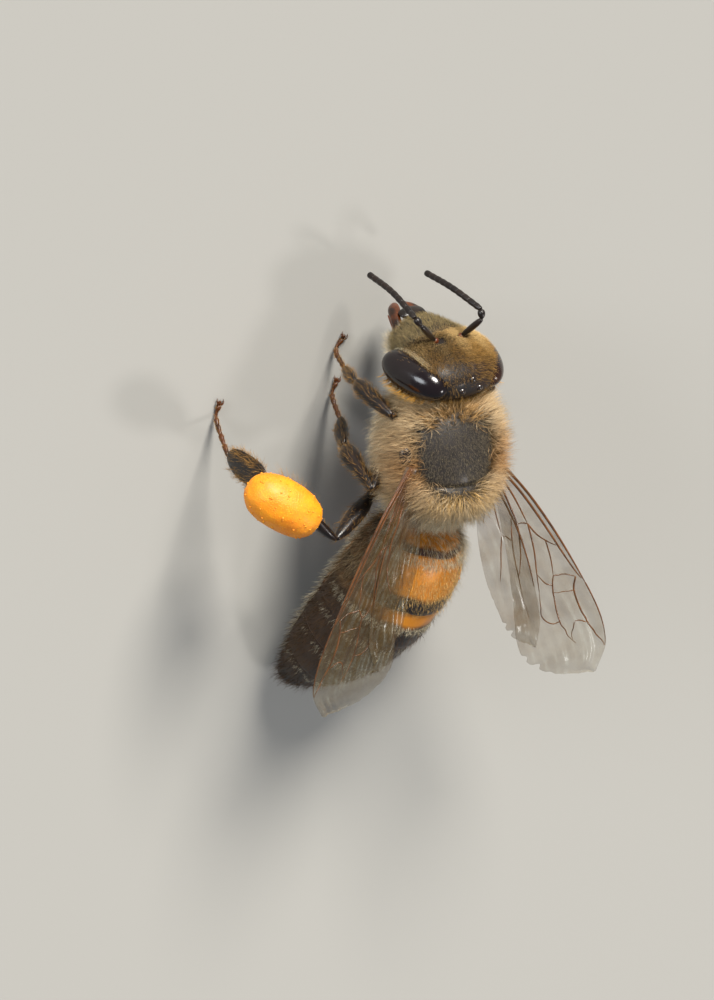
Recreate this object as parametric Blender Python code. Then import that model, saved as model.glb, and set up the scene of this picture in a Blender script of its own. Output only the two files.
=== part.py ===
"""A honey bee worker as a still, life-size model, standing on its six feet.

Frame: +Z up, the floor at z = 0, the head towards -Y and the bee's left side towards +X.
The solids hold the whole outline, coat included. Sizes are in millimetres and angles in
degrees; MM turns a size into Blender's metres. An azimuth is counted from straight ahead
towards the bee's left, and an elevation up from the floor.
"""

import math

import bmesh
import bpy
from mathutils import Matrix, Vector

MM = 0.001
CUT = 0.05  # the thin cut where two pieces part
SIDES = {"left": 1, "right": -1}

# Thorax, coat included: its middle over the floor, its pitch and its size.
THORAX_AT = Vector((-0.577, -2.233, 3.75))
THORAX_PITCH = -13.0
THORAX_WIDTH, THORAX_LENGTH, THORAX_HEIGHT = 4.1, 4.4, 3.9
TEGULA_AT = Vector((1.72, -0.3, 0.95))
TEGULA_LENGTH, TEGULA_WIDTH, TEGULA_DEPTH = 0.9, 0.7, 0.9

# Head: its middle from the middle of the thorax, its size and its turn.
HEAD_AT = Vector((0.05, -2.9, -0.4))
HEAD_WIDTH, HEAD_HEIGHT, HEAD_DEPTH = 3.4, 3.5, 1.9
HEAD_YAW, HEAD_PITCH, HEAD_ROLL = 0.0, 5.0, 6.0
EYE_AT = Vector((1.3, 0.1, 0.3))
EYE_LENGTH, EYE_BREADTH, EYE_THICKNESS = 2.35, 1.2, 1.0
EYE_LEAN = 14.0
MANDIBLE_AT = Vector((0.34, -0.35, -1.6))
MANDIBLE_LENGTH, MANDIBLE_WIDTH = 0.95, 0.55
PROBOSCIS_AT = Vector((0.0, 0.3, -1.6))
PROBOSCIS_LENGTH, PROBOSCIS_WIDTH = 1.1, 0.6

# Feelers: the aims of the scape, of the short pedicel and of the flagellum's two halves.
FEELER_WIDTH = 0.5
SHORT = 0.5  # limb stretches up to this long take no rings between their ends
SCAPE_LENGTH, PEDICEL_LENGTH, FLAGELLUM_LENGTH = 1.25, 0.3, 2.5
SCAPE_ROOT = Vector((0.33, -0.7, 0.15))
FEELER_AIMS = {
    "left": ((45.0, 10.0), (35.0, -35.0), (20.0, -76.0), (80.0, -86.0)),
    "right": ((-21.0, 32.0), (0.0, -25.0), (60.0, -72.0), (115.0, -82.0)),
}

# Abdomen, coat included: a bent spindle, parted at its six visible segments.
ABDOMEN_AT = Vector((-0.28, 2.14, -0.99))
ABDOMEN_LENGTH, ABDOMEN_WIDTH, ABDOMEN_HEIGHT = 7.9, 3.9, 3.4
ABDOMEN_AZIMUTHS = (169.0, 148.0)
ABDOMEN_SLOPES = (-3.0, -38.0)
SEGMENT_ENDS = (0.0, 0.12, 0.345, 0.51, 0.66, 0.82, 1.0)

# Wings: the hinge of each forewing from the middle of the thorax and that of its
# hindwing behind it, the aims, the twist that raises the leading edge, and how far the
# tip droops below a straight line.
FOREWING_LENGTH, HINDWING_LENGTH, WING_THICKNESS = 8.6, 6.2, 0.5
WING_HINGES = {"left": Vector((1.61, -0.05, 1.18)), "right": Vector((1.35, 0.1, 0.75))}
HINDWING_BACK, HINDWING_DROP = {"left": 0.4, "right": 0.6}, 0.12
WING_AIMS = {"left": (162.8, 2.6, 1.7), "right": (-147.4, 12.2, 10.0)}
WING_DROOPS = {"left": 0.55, "right": 0.2}

# Legs: the root from the middle of the thorax, the lengths of femur with coxa, tibia,
# basitarsus and tarsus, and the half-width and half-depth of each at its start, middle
# and end.
LEG_ROOTS = {
    "fore": Vector((0.5, -1.2, -1.35)),
    "mid": Vector((0.75, 0.0, -1.6)),
    "hind": Vector((0.8, 1.0, -1.5)),
}
LEG_LENGTHS = {
    "fore": (2.3, 1.85, 1.15, 0.85),
    "mid": (2.7, 2.1, 1.4, 0.9),
    "hind": (3.2, 3.1, 2.1, 1.4),
}
LEG_PARTS = ("femur", "tibia", "basitarsus", "tarsus")
LEG_WIDTHS = {
    "fore": ((0.28, 0.36, 0.27), (0.27, 0.3, 0.27), (0.25, 0.28, 0.25), (0.25, 0.25, 0.25)),
    "mid": ((0.3, 0.36, 0.28), (0.26, 0.33, 0.3), (0.3, 0.36, 0.27), (0.25, 0.25, 0.25)),
    "hind": ((0.3, 0.38, 0.3), (0.28, 0.42, 0.58), (0.55, 0.6, 0.4), (0.26, 0.26, 0.26)),
}
LEG_DEPTH = 0.26
# The aim of femur, tibia and basitarsus, and the azimuth in which the tarsus reaches
# down to the floor.
LEG_AIMS = {
    ("fore", "left"): ((64, 48), (44, -77), (-117, -73), -35),
    ("mid", "left"): ((101, 49), (-19, -78), (-69, -64), -18),
    ("hind", "left"): ((112, 28), (49, -11), (120, -84), -14),
    ("fore", "right"): ((-48, 48), (-100, -76), (-143, -68), -100),
    ("mid", "right"): ((-125, 20), (-38, -69), (-10, -36), -20),
    ("hind", "right"): ((-133, -20), (152, -15), (175, -5), 178),
}
FOOT_LENGTH, FOOT_HEIGHT = 0.3, 0.2
# How steeply the broad faces of each side's legs look up.
FACE_RISE = {"left": 27, "right": 40}

# Pollen loads on the outer face of each hind tibia.
POLLEN_LENGTH, POLLEN_WIDTH, POLLEN_DEPTH = 2.8, 1.7, 1.7
POLLEN_ALONG, POLLEN_OUT, POLLEN_ACROSS = 0.87, 0.7, 0.42


def heading(azimuth, elevation):
    """The unit vector at an azimuth from straight ahead and an elevation from the floor."""
    a, e = math.radians(azimuth), math.radians(elevation)
    return Vector((math.sin(a) * math.cos(e), -math.cos(a) * math.cos(e), math.sin(e)))


def turned(yaw, pitch, roll):
    """Yaw to the bee's left, pitch nose-up, and roll its left side up."""
    return (
        Matrix.Rotation(math.radians(yaw), 3, "Z")
        @ Matrix.Rotation(math.radians(-pitch), 3, "X")
        @ Matrix.Rotation(math.radians(-roll), 3, "Y")
    )


THORAX_TURN = turned(0.0, THORAX_PITCH, 0.0)
HEAD_TURN = turned(HEAD_YAW, HEAD_PITCH, HEAD_ROLL)


def on_thorax(point):
    """A place given from the middle of the thorax, in the bee's frame."""
    return THORAX_AT + THORAX_TURN @ point


def on_head(point):
    """A place given from the middle of the head, in the bee's frame."""
    return THORAX_AT + HEAD_AT + HEAD_TURN @ point


def mirrored(vector, side):
    """A vector for the left side, brought to the side named."""
    return Vector((vector.x * SIDES[side], vector.y, vector.z))


def profile(stations, t):
    """The values at t on a smooth curve through stations, each (t, value, ...)."""
    last = len(stations) - 1
    i = max(n for n in range(last) if stations[n][0] <= t or n == 0)
    before, low = stations[max(i - 1, 0)], stations[i]
    high, after = stations[i + 1], stations[min(i + 2, last)]
    span = high[0] - low[0]
    s = (t - low[0]) / span
    found = []
    for a, b, c, d in zip(before[1:], low[1:], high[1:], after[1:]):
        start = (c - a) / (high[0] - before[0]) * span
        end = (d - b) / (after[0] - low[0]) * span
        found.append(
            b * (2 * s**3 - 3 * s**2 + 1)
            + start * (s**3 - 2 * s**2 + s)
            + c * (3 * s**2 - 2 * s**3)
            + end * (s**3 - s**2)
        )
    return found


def ring(centre, across, above, below, sides, square=2.0):
    """Points round an oval with a half-width and an upper and a lower half-height."""
    points = []
    for n in range(sides):
        angle = 2 * math.pi * (n + 0.5) / sides
        c, s = math.cos(angle), math.sin(angle)
        x = math.copysign(abs(c) ** (2 / square), c)
        y = abs(s) ** (2 / square)
        points.append(centre + across * x + (above if s > 0 else below) * y)
    return points


def loft(rings):
    """A closed mesh through rings of equal counts, with flat ends."""
    mesh = bmesh.new()
    rows = [[mesh.verts.new(point) for point in row] for row in rings]
    mesh.faces.new(rows[0])
    for low, high in zip(rows, rows[1:]):
        for n in range(len(low)):
            following = (n + 1) % len(low)
            mesh.faces.new((low[n], low[following], high[following], high[n]))
    mesh.faces.new(rows[-1])
    bmesh.ops.recalc_face_normals(mesh, faces=mesh.faces)
    return mesh


def ovoid(centre, half_axes, segments):
    """A closed egg round its three half-axes."""
    mesh = bmesh.new()
    bmesh.ops.create_uvsphere(
        mesh,
        u_segments=segments,
        v_segments=segments // 2,
        radius=1.0,
        matrix=Matrix.Translation(centre) @ Matrix(half_axes).transposed().to_4x4(),
    )
    bmesh.ops.recalc_face_normals(mesh, faces=mesh.faces)
    return mesh


def limb(joints, first, last, widths, depth, outward, grow=0.0):
    """The stretch of a jointed limb between two of its joints, mitred at each of them.

    widths holds the half-widths at its start, middle and end, and outward is the way
    that its broad face looks.
    """
    rings = []
    for i in range(first, last):
        start, end = joints[i], joints[i + 1]
        axis = (end - start).normalized()
        before = (start - joints[i - 1]).normalized() if i > 0 else axis
        after = (joints[i + 2] - end).normalized() if i + 2 < len(joints) else axis
        face = (outward - axis * outward.dot(axis)).normalized()
        across = axis.cross(face)
        # A short stretch has rings at its ends only, or those at its mitres would cross.
        for t in (0.0, 0.35, 0.65, 1.0) if (end - start).length > SHORT else (0.0, 1.0):
            if t == 0.0 and i > first:
                continue
            whole = (i - first + t) / (last - first)
            half = profile([(0.0, widths[0]), (0.5, widths[1]), (1.0, widths[2])], whole)[0]
            at = start.lerp(end, t)
            points = ring(
                at, across * (half + grow), face * (depth + grow), face * -(depth + grow), 10
            )
            if t in (0.0, 1.0):
                mitre = axis + (before if t == 0.0 else after)
                if i + t == first:
                    at = at + axis * (CUT / 2 - grow)
                if i + t == last:
                    at = at - axis * (CUT / 2 - grow)
                points = [p + axis * ((at - p).dot(mitre) / axis.dot(mitre)) for p in points]
            rings.append(points)
    return loft(rings)


def material(name, colour, roughness):
    """A plain Principled material."""
    made = bpy.data.materials.new(name)
    made.use_nodes = True
    shader = made.node_tree.nodes["Principled BSDF"]
    shader.inputs["Base Color"].default_value = (*colour, 1.0)
    shader.inputs["Roughness"].default_value = roughness
    return made


def add(name, mesh, finish):
    """An object in metres from a mesh in millimetres."""
    bmesh.ops.scale(mesh, vec=(MM, MM, MM), verts=mesh.verts)
    data = bpy.data.meshes.new(name)
    mesh.to_mesh(data)
    mesh.free()
    data.shade_smooth()
    data.materials.append(finish)
    made = bpy.data.objects.new(name, data)
    bpy.context.collection.objects.link(made)
    return made


def helper(name, mesh, finish):
    """A shape that only cuts others."""
    made = add(name, mesh, finish)
    made.hide_render = True
    made.display_type = "WIRE"
    return made


def cut_away(piece, *cutters):
    """Takes the shapes of the cutters out of a piece."""
    for cutter in cutters:
        boolean = piece.modifiers.new(f"room for {cutter.name}", "BOOLEAN")
        boolean.operation = "DIFFERENCE"
        boolean.object = cutter


def head_rings(grow=0.0):
    """From the crown down to the mouth: half-width, face side and nape side."""
    stations = (
        (0.0, 0.25, 0.22, 0.28),
        (0.06, 0.62, 0.5, 0.62),
        (0.2, 0.9, 0.8, 0.9),
        (0.4, 1.0, 0.95, 1.0),
        (0.62, 0.86, 1.0, 0.85),
        (0.82, 0.6, 0.95, 0.6),
        (0.95, 0.44, 0.75, 0.42),
        (1.0, 0.3, 0.45, 0.3),
    )
    face = HEAD_TURN @ Vector((0, -1, 0))
    left = HEAD_TURN @ Vector((1, 0, 0))
    steps = 12
    rings = []
    for n in range(steps + 1):
        width, front, back = profile(stations, n / steps)
        middle = on_head(Vector((0, 0, (HEAD_HEIGHT + 2 * grow) * (0.5 - n / steps))))
        rings.append(
            ring(
                middle,
                left * (HEAD_WIDTH / 2 * width + grow),
                face * (HEAD_DEPTH / 2 * front + grow),
                face * -(HEAD_DEPTH / 2 * back + grow),
                20,
                2.3,
            )
        )
    return rings


def thorax_rings(grow=0.0):
    """From the collar back to the waist: half-width, upper and lower half-height."""
    stations = (
        (0.0, 0.35, 0.28, 0.35),
        (0.07, 0.62, 0.55, 0.6),
        (0.22, 0.88, 0.86, 0.88),
        (0.42, 1.0, 1.0, 1.0),
        (0.65, 0.98, 0.98, 1.0),
        (0.84, 0.8, 0.76, 0.84),
        (0.95, 0.55, 0.45, 0.6),
        (1.0, 0.3, 0.22, 0.35),
    )
    left = THORAX_TURN @ Vector((1, 0, 0))
    up = THORAX_TURN @ Vector((0, 0, 1))
    steps = 14
    rings = []
    for n in range(steps + 1):
        width, above, below = profile(stations, n / steps)
        middle = on_thorax(Vector((0, (THORAX_LENGTH + 2 * grow) * (n / steps - 0.5), 0)))
        rings.append(
            ring(
                middle,
                left * (THORAX_WIDTH / 2 * width + grow),
                up * (THORAX_HEIGHT / 2 * above + grow),
                up * -(THORAX_HEIGHT / 2 * below + grow),
                24,
                2.2,
            )
        )
    return rings


def eye_axes(side, grow=0.0):
    """Half-axes of an eye: out of the head, from front to back, and up."""
    lean = Matrix.Rotation(math.radians(-EYE_LEAN * SIDES[side]), 3, "Y")
    basis = HEAD_TURN @ lean
    return (
        basis @ Vector((EYE_THICKNESS / 2 + grow, 0, 0)),
        basis @ Vector((0, EYE_BREADTH / 2 + grow, 0)),
        basis @ Vector((0, 0, EYE_LENGTH / 2 + grow)),
    )


def build_head(finishes, room):
    """The head with a socket for each eye, the eyes, the mandibles and the proboscis."""
    head = add("head", loft(head_rings()), finishes["coat"])
    forward = HEAD_TURN @ Vector((0, -1, 0))
    down = HEAD_TURN @ Vector((0, 0, -1))
    for side in SIDES:
        at = on_head(mirrored(EYE_AT, side))
        add(f"eye_{side}", ovoid(at, eye_axes(side), 18), finishes["eye"])
        socket = ovoid(at, eye_axes(side, CUT), 18)
        cut_away(head, helper(f"socket_{side}", socket, finishes["eye"]))
        across = HEAD_TURN @ Vector((SIDES[side], 0, 0))
        start = on_head(mirrored(MANDIBLE_AT, side))
        axis = (down + forward * 0.2 - across * 0.1).normalized()
        rings = [
            ring(
                start + axis * MANDIBLE_LENGTH * t,
                across * MANDIBLE_WIDTH / 2 * wide,
                forward * 0.28 * wide,
                forward * -0.28 * wide,
                8,
            )
            for t, wide in ((0.0, 1.0), (0.4, 1.0), (0.8, 0.9), (1.0, 0.6))
        ]
        mandible = add(f"mandible_{side}", loft(rings), finishes["amber"])
        cut_away(mandible, room["head"])
    start = on_head(PROBOSCIS_AT)
    axis = (down + forward * 0.1).normalized()
    left = HEAD_TURN @ Vector((1, 0, 0))
    rings = [
        ring(
            start + axis * PROBOSCIS_LENGTH * t,
            left * PROBOSCIS_WIDTH / 2 * wide,
            forward * 0.27 * wide,
            forward * -0.27 * wide,
            8,
        )
        for t, wide in ((0.0, 1.0), (0.5, 0.95), (1.0, 0.8))
    ]
    proboscis = add("proboscis", loft(rings), finishes["amber"])
    cut_away(proboscis, room["head"])


def build_feelers(finishes, room):
    """Each feeler: a straight scape, then a flagellum that bends once."""
    half = FEELER_WIDTH / 2
    widths = (half, half, half)
    lengths = (SCAPE_LENGTH, PEDICEL_LENGTH, FLAGELLUM_LENGTH / 2, FLAGELLUM_LENGTH / 2)
    for side, aims in FEELER_AIMS.items():
        joints = [on_head(mirrored(SCAPE_ROOT, side))]
        for aim, length in zip(aims, lengths):
            joints.append(joints[-1] + heading(*aim) * length)
        up = Vector((0, 0, 1))
        scape = add(f"scape_{side}", limb(joints, 0, 1, widths, half, up), finishes["shell"])
        cut_away(scape, room["head"])
        add(f"flagellum_{side}", limb(joints, 1, 4, widths, half, up), finishes["shell"])


def build_thorax(finishes, room):
    """The thorax, and a tegula over the root of each forewing."""
    thorax = add("thorax", loft(thorax_rings()), finishes["coat"])
    cut_away(thorax, room["head"])
    for side in SIDES:
        axes = (
            THORAX_TURN @ Vector((TEGULA_WIDTH / 2, 0, 0)),
            THORAX_TURN @ Vector((0, TEGULA_LENGTH / 2, 0)),
            THORAX_TURN @ Vector((0, 0, TEGULA_DEPTH / 2)),
        )
        at = on_thorax(mirrored(TEGULA_AT, side))
        tegula = add(f"tegula_{side}", ovoid(at, axes, 12), finishes["shell"])
        cut_away(tegula, room["thorax"])
        wider = ovoid(at, [axis * (1 + 2 * CUT / TEGULA_WIDTH) for axis in axes], 12)
        room[f"tegula_{side}"] = helper(f"room_tegula_{side}", wider, finishes["shell"])


def abdomen_spine(t):
    """The place on the abdomen's middle line, its way back and its own up."""

    def aim(at):
        azimuth = ABDOMEN_AZIMUTHS[0] + (ABDOMEN_AZIMUTHS[1] - ABDOMEN_AZIMUTHS[0]) * at
        slope = ABDOMEN_SLOPES[0] + (ABDOMEN_SLOPES[1] - ABDOMEN_SLOPES[0]) * at
        return azimuth, slope

    place = on_thorax(ABDOMEN_AT)
    count = 20
    for n in range(count):
        place = place + heading(*aim(t * (n + 0.5) / count)) * (ABDOMEN_LENGTH * t / count)
    azimuth, slope = aim(t)
    return place, heading(azimuth, slope), heading(azimuth, slope + 90)


def build_abdomen(finishes, room):
    """Six segments, cut square to the middle line."""
    stations = (
        (0.0, 0.3, 0.3, 0.3),
        (0.04, 0.62, 0.62, 0.6),
        (0.12, 0.88, 0.86, 0.85),
        (0.25, 0.98, 0.97, 0.97),
        (0.42, 1.0, 1.0, 1.0),
        (0.6, 0.92, 0.93, 0.92),
        (0.76, 0.74, 0.75, 0.74),
        (0.9, 0.46, 0.48, 0.46),
        (0.97, 0.26, 0.28, 0.26),
        (1.0, 0.14, 0.14, 0.14),
    )
    gap = CUT / 2 / ABDOMEN_LENGTH
    slices = 4
    for number, (low, high) in enumerate(zip(SEGMENT_ENDS, SEGMENT_ENDS[1:]), 1):
        start = low + gap if low > 0 else low
        end = high - gap if high < 1 else high
        rings = []
        for n in range(slices + 1):
            t = start + (end - start) * n / slices
            width, above, below = profile(stations, t)
            middle, back, up = abdomen_spine(t)
            rings.append(
                ring(
                    middle,
                    up.cross(back) * ABDOMEN_WIDTH / 2 * width,
                    up * ABDOMEN_HEIGHT / 2 * above,
                    up * -ABDOMEN_HEIGHT / 2 * below,
                    20,
                )
            )
        segment = add(f"abdomen_{number}", loft(rings), finishes["tergite"])
        if number == 1:
            cut_away(segment, room["thorax"])


def wing_mesh(hinge, side, length, edges, start, grow=0.0):
    """A blade between a leading and a trailing edge, as thick as the solids ask."""
    azimuth, elevation, twist = WING_AIMS[side]
    out = heading(azimuth, elevation)
    lead = heading(azimuth - 90 * SIDES[side], 0)
    up = lead.cross(out) * SIDES[side]
    tilt = math.radians(twist)
    up = up * math.cos(tilt) - lead * math.sin(tilt)
    lead = out.cross(up) * SIDES[side]
    deep = WING_THICKNESS / 2
    steps = 14
    rings = []
    for n in range(steps + 1):
        t = start + (1 - start) * math.sin(math.pi / 2 * n / steps)
        front, rear = profile(edges, t)
        half = max((front - rear) / 2, 0.12)
        sag = WING_DROOPS[side] * (length * t / FOREWING_LENGTH) ** 2
        middle = hinge + out * length * t - up * sag + lead * (front + rear) / 2
        rings.append(
            ring(middle, lead * (half + grow), up * (deep + grow), up * -(deep + grow), 12, 3.5)
        )
    return loft(rings)


def build_wings(finishes, room):
    """Each side's forewing and the hindwing that trails it."""
    forewing_edges = (
        (0.0, 0.2, -0.2),
        (0.2, 0.4, -0.6),
        (0.4, 0.5, -1.15),
        (0.6, 0.5, -1.8),
        (0.72, 0.46, -2.25),
        (0.79, 0.4, -2.35),
        (0.87, 0.25, -2.1),
        (0.94, 0.02, -1.6),
        (1.0, -0.4, -0.95),
    )
    hindwing_edges = (
        (0.0, 0.25, -0.3),
        (0.2, 0.1, -1.0),
        (0.45, -0.15, -1.6),
        (0.7, -0.55, -1.9),
        (0.88, -0.95, -1.95),
        (1.0, -1.4, -1.6),
    )
    for side in SIDES:
        hinge = on_thorax(mirrored(WING_HINGES[side], side))
        blade = wing_mesh(hinge, side, FOREWING_LENGTH, forewing_edges, 0.03)
        fore = add(f"forewing_{side}", blade, finishes["wing"])
        blade = wing_mesh(hinge, side, FOREWING_LENGTH, forewing_edges, 0.03, CUT)
        room[f"forewing_{side}"] = helper(f"room_forewing_{side}", blade, finishes["wing"])
        hinge = hinge + THORAX_TURN @ Vector((0, HINDWING_BACK[side], -HINDWING_DROP))
        blade = wing_mesh(hinge, side, HINDWING_LENGTH, hindwing_edges, 0.03)
        hind = add(f"hindwing_{side}", blade, finishes["wing"])
        cut_away(fore, room["thorax"], room[f"tegula_{side}"])
        cut_away(hind, room["thorax"], room[f"forewing_{side}"])


def leg_joints(pair, side):
    """The root, knee, ankle, heel and toe of a leg, and the end of its foot."""
    aims = LEG_AIMS[pair, side]
    lengths = LEG_LENGTHS[pair]
    joints = [on_thorax(mirrored(LEG_ROOTS[pair], side))]
    for aim, length in zip(aims, lengths[:3]):
        joints.append(joints[-1] + heading(*aim) * length)
    drop = math.degrees(math.asin((joints[-1].z - FOOT_HEIGHT) / lengths[3]))
    joints.append(joints[-1] + heading(aims[3], -drop) * lengths[3])
    joints.append(joints[-1] + heading(aims[3], 0) * FOOT_LENGTH)
    return joints


def build_legs(finishes, room):
    """Six legs of four pieces, and a pollen load on each hind tibia."""
    for (pair, side) in LEG_AIMS:
        joints = leg_joints(pair, side)
        outward = heading(90 * SIDES[side], FACE_RISE[side])
        for number, part in enumerate(LEG_PARTS):
            last = 5 if part == "tarsus" else number + 1
            mesh = limb(joints, number, last, LEG_WIDTHS[pair][number], LEG_DEPTH, outward)
            if part == "tarsus":
                bmesh.ops.bisect_plane(
                    mesh, geom=mesh.verts[:] + mesh.edges[:] + mesh.faces[:],
                    plane_co=(0, 0, 0), plane_no=(0, 0, -1), clear_outer=True,
                )
                bmesh.ops.holes_fill(mesh, edges=mesh.edges, sides=0)
            piece = add(f"{part}_{pair}_{side}", mesh, finishes["shell"])
            if part == "femur":
                cut_away(piece, room["thorax"])
        if pair == "hind":
            build_pollen(joints, side, outward, finishes)


def build_pollen(joints, side, outward, finishes):
    """The pollen load that wraps the outer face of a hind tibia."""
    axis = (joints[2] - joints[1]).normalized()
    face = (outward - axis * outward.dot(axis)).normalized()
    across = axis.cross(face)
    at = joints[1].lerp(joints[2], POLLEN_ALONG) + face * POLLEN_OUT + across * POLLEN_ACROSS
    axes = (
        axis * POLLEN_LENGTH / 2,
        across * POLLEN_WIDTH / 2,
        face * POLLEN_DEPTH / 2,
    )
    pollen = add(f"pollen_{side}", ovoid(at, axes, 20), finishes["pollen"])
    for number in (1, 2):
        widths = LEG_WIDTHS["hind"][number]
        shape = limb(joints, number, number + 1, widths, LEG_DEPTH, outward, CUT)
        cut_away(pollen, helper(f"groove_{side}_{number}", shape, finishes["pollen"]))


def main():
    """Clears the scene and builds the bee from its finishes and its cutting shapes."""
    for old in list(bpy.data.objects):
        bpy.data.objects.remove(old)
    finishes = {
        "coat": material("coat", (0.42, 0.28, 0.12), 0.8),
        "shell": material("shell", (0.02, 0.014, 0.01), 0.3),
        "tergite": material("tergite", (0.5, 0.25, 0.06), 0.35),
        "eye": material("eye", (0.015, 0.008, 0.01), 0.12),
        "amber": material("amber", (0.3, 0.08, 0.02), 0.3),
        "wing": material("wing", (0.45, 0.38, 0.28), 0.2),
        "pollen": material("pollen", (0.95, 0.5, 0.02), 0.5),
    }
    room = {
        "head": helper("room_head", loft(head_rings(CUT)), finishes["coat"]),
        "thorax": helper("room_thorax", loft(thorax_rings(CUT)), finishes["coat"]),
    }
    build_head(finishes, room)
    build_feelers(finishes, room)
    build_thorax(finishes, room)
    build_abdomen(finishes, room)
    build_wings(finishes, room)
    build_legs(finishes, room)


main()
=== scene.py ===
"""Looks of a honey bee worker: skins, eyes, wings, legs, pollen and fur over its solids.

Places and sizes are in millimetres in the frame of the solids, +Z up, the head towards -Y
and the bee's left side towards +X. MM turns them into Blender's metres.
"""

from __future__ import annotations

import logging
import math
from collections.abc import Callable, Iterable, Sequence
from dataclasses import dataclass, field
from enum import Enum

import bmesh
import bpy
import numpy as np
from mathutils import Matrix, Vector


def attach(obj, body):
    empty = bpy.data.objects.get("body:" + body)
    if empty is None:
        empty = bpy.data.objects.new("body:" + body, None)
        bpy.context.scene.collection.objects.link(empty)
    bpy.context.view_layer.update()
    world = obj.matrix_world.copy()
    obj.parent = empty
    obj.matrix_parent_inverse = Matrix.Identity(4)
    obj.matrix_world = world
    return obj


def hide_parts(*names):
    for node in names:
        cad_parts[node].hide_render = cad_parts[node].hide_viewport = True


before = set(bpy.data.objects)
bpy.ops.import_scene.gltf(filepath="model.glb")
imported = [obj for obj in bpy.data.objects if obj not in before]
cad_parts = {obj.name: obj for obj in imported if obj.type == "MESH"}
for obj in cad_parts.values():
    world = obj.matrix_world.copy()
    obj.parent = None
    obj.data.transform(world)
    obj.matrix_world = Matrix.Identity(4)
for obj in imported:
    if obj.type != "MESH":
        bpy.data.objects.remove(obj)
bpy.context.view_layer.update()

log = logging.getLogger("honey bee")

MM = 0.001
SEED = 41
Array = np.ndarray
Colour = tuple[float, float, float]
Place = tuple[float, float, float]
Aim = tuple[float, float]
Outline = tuple[tuple[float, float, float], ...]
Veins = tuple[tuple[float, tuple[Aim, ...]], ...]


class Side(Enum):
    """The two sides of the bee, as the sign of X."""

    LEFT = 1
    RIGHT = -1

    @property
    def word(self) -> str:
        """The side's name, as the solids' names have it."""
        return self.name.lower()


class Pair(Enum):
    """The three pairs of legs."""

    FORE = "fore"
    MID = "mid"
    HIND = "hind"


def srgb(red: float, green: float, blue: float) -> Colour:
    """A colour of 0 to 255 values, made linear."""
    return tuple(
        v / 12.92 if v <= 0.04045 else ((v + 0.055) / 1.055) ** 2.4
        for v in (red / 255, green / 255, blue / 255)
    )


def unit(vectors: Array) -> Array:
    """Vectors brought to length 1."""
    return vectors / np.maximum(np.linalg.norm(vectors, axis=-1, keepdims=True), 1e-9)


def heading(azimuth: float, elevation: float) -> Array:
    """The unit vector at an azimuth from straight ahead and an elevation from the floor."""
    a, e = math.radians(azimuth), math.radians(elevation)
    return np.array([math.sin(a) * math.cos(e), -math.cos(a) * math.cos(e), math.sin(e)])


def turned(yaw: float, pitch: float, roll: float) -> Array:
    """A turn: yaw to the bee's left, pitch nose-up, and roll its left side up."""
    turn = (
        Matrix.Rotation(math.radians(yaw), 3, "Z")
        @ Matrix.Rotation(math.radians(-pitch), 3, "X")
        @ Matrix.Rotation(math.radians(-roll), 3, "Y")
    )
    return np.array(turn)


def smooth(low: float, high: float, values: Array) -> Array:
    """0 below low, 1 above high, and a smooth step between."""
    t = np.clip((values - low) / (high - low), 0.0, 1.0)
    return t * t * (3 - 2 * t)


def mixed(first: Array | Colour, second: Array | Colour, share: Array) -> Array:
    """Two colours mixed point by point."""
    share = np.asarray(share)[..., None]
    return np.asarray(first) * (1 - share) + np.asarray(second) * share


def power(values: Array, square: float) -> Array:
    """Cosines or sines bent so that an oval turns squarer."""
    return np.sign(values) * np.abs(values) ** (2 / square)


def curve(stations: Sequence[Sequence[float]] | Array) -> Callable[[Array], Array]:
    """A smooth curve through stations of a place and one or more values there.

    Args:
        stations: rows of (place, value, ...), their places rising.

    Returns:
        A function from an array of places to rows of values.
    """
    table = np.array(stations, float)
    places, values = table[:, 0], table[:, 1:]
    slopes = np.gradient(values, places, axis=0)

    def at(place: Array) -> Array:
        place = np.clip(place, places[0], places[-1])
        n = np.clip(np.searchsorted(places, place, "right") - 1, 0, len(places) - 2)
        span = (places[n + 1] - places[n])[:, None]
        t = (place - places[n])[:, None] / span
        start = values[n] * (1 + 2 * t) + slopes[n] * span * t
        end = values[n + 1] * (3 - 2 * t) - slopes[n + 1] * span * (1 - t)
        return start * (1 - t) ** 2 + end * t**2

    return at


THORAX_AT = np.array([-0.577, -2.233, 3.75])
THORAX_TURN = turned(0.0, -13.0, 0.0)
HEAD_AT = np.array([0.05, -2.9, -0.4])
HEAD_TURN = turned(0.0, 5.0, 6.0)


def on_thorax(point: Sequence[float] | Array) -> Array:
    """A place given from the middle of the thorax, in the bee's frame."""
    return THORAX_AT + np.asarray(point) @ THORAX_TURN.T


def on_head(point: Sequence[float] | Array) -> Array:
    """A place given from the middle of the head, in the bee's frame."""
    return THORAX_AT + HEAD_AT + np.asarray(point) @ HEAD_TURN.T


# ---------------------------------------------------------------------------- finishes


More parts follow.
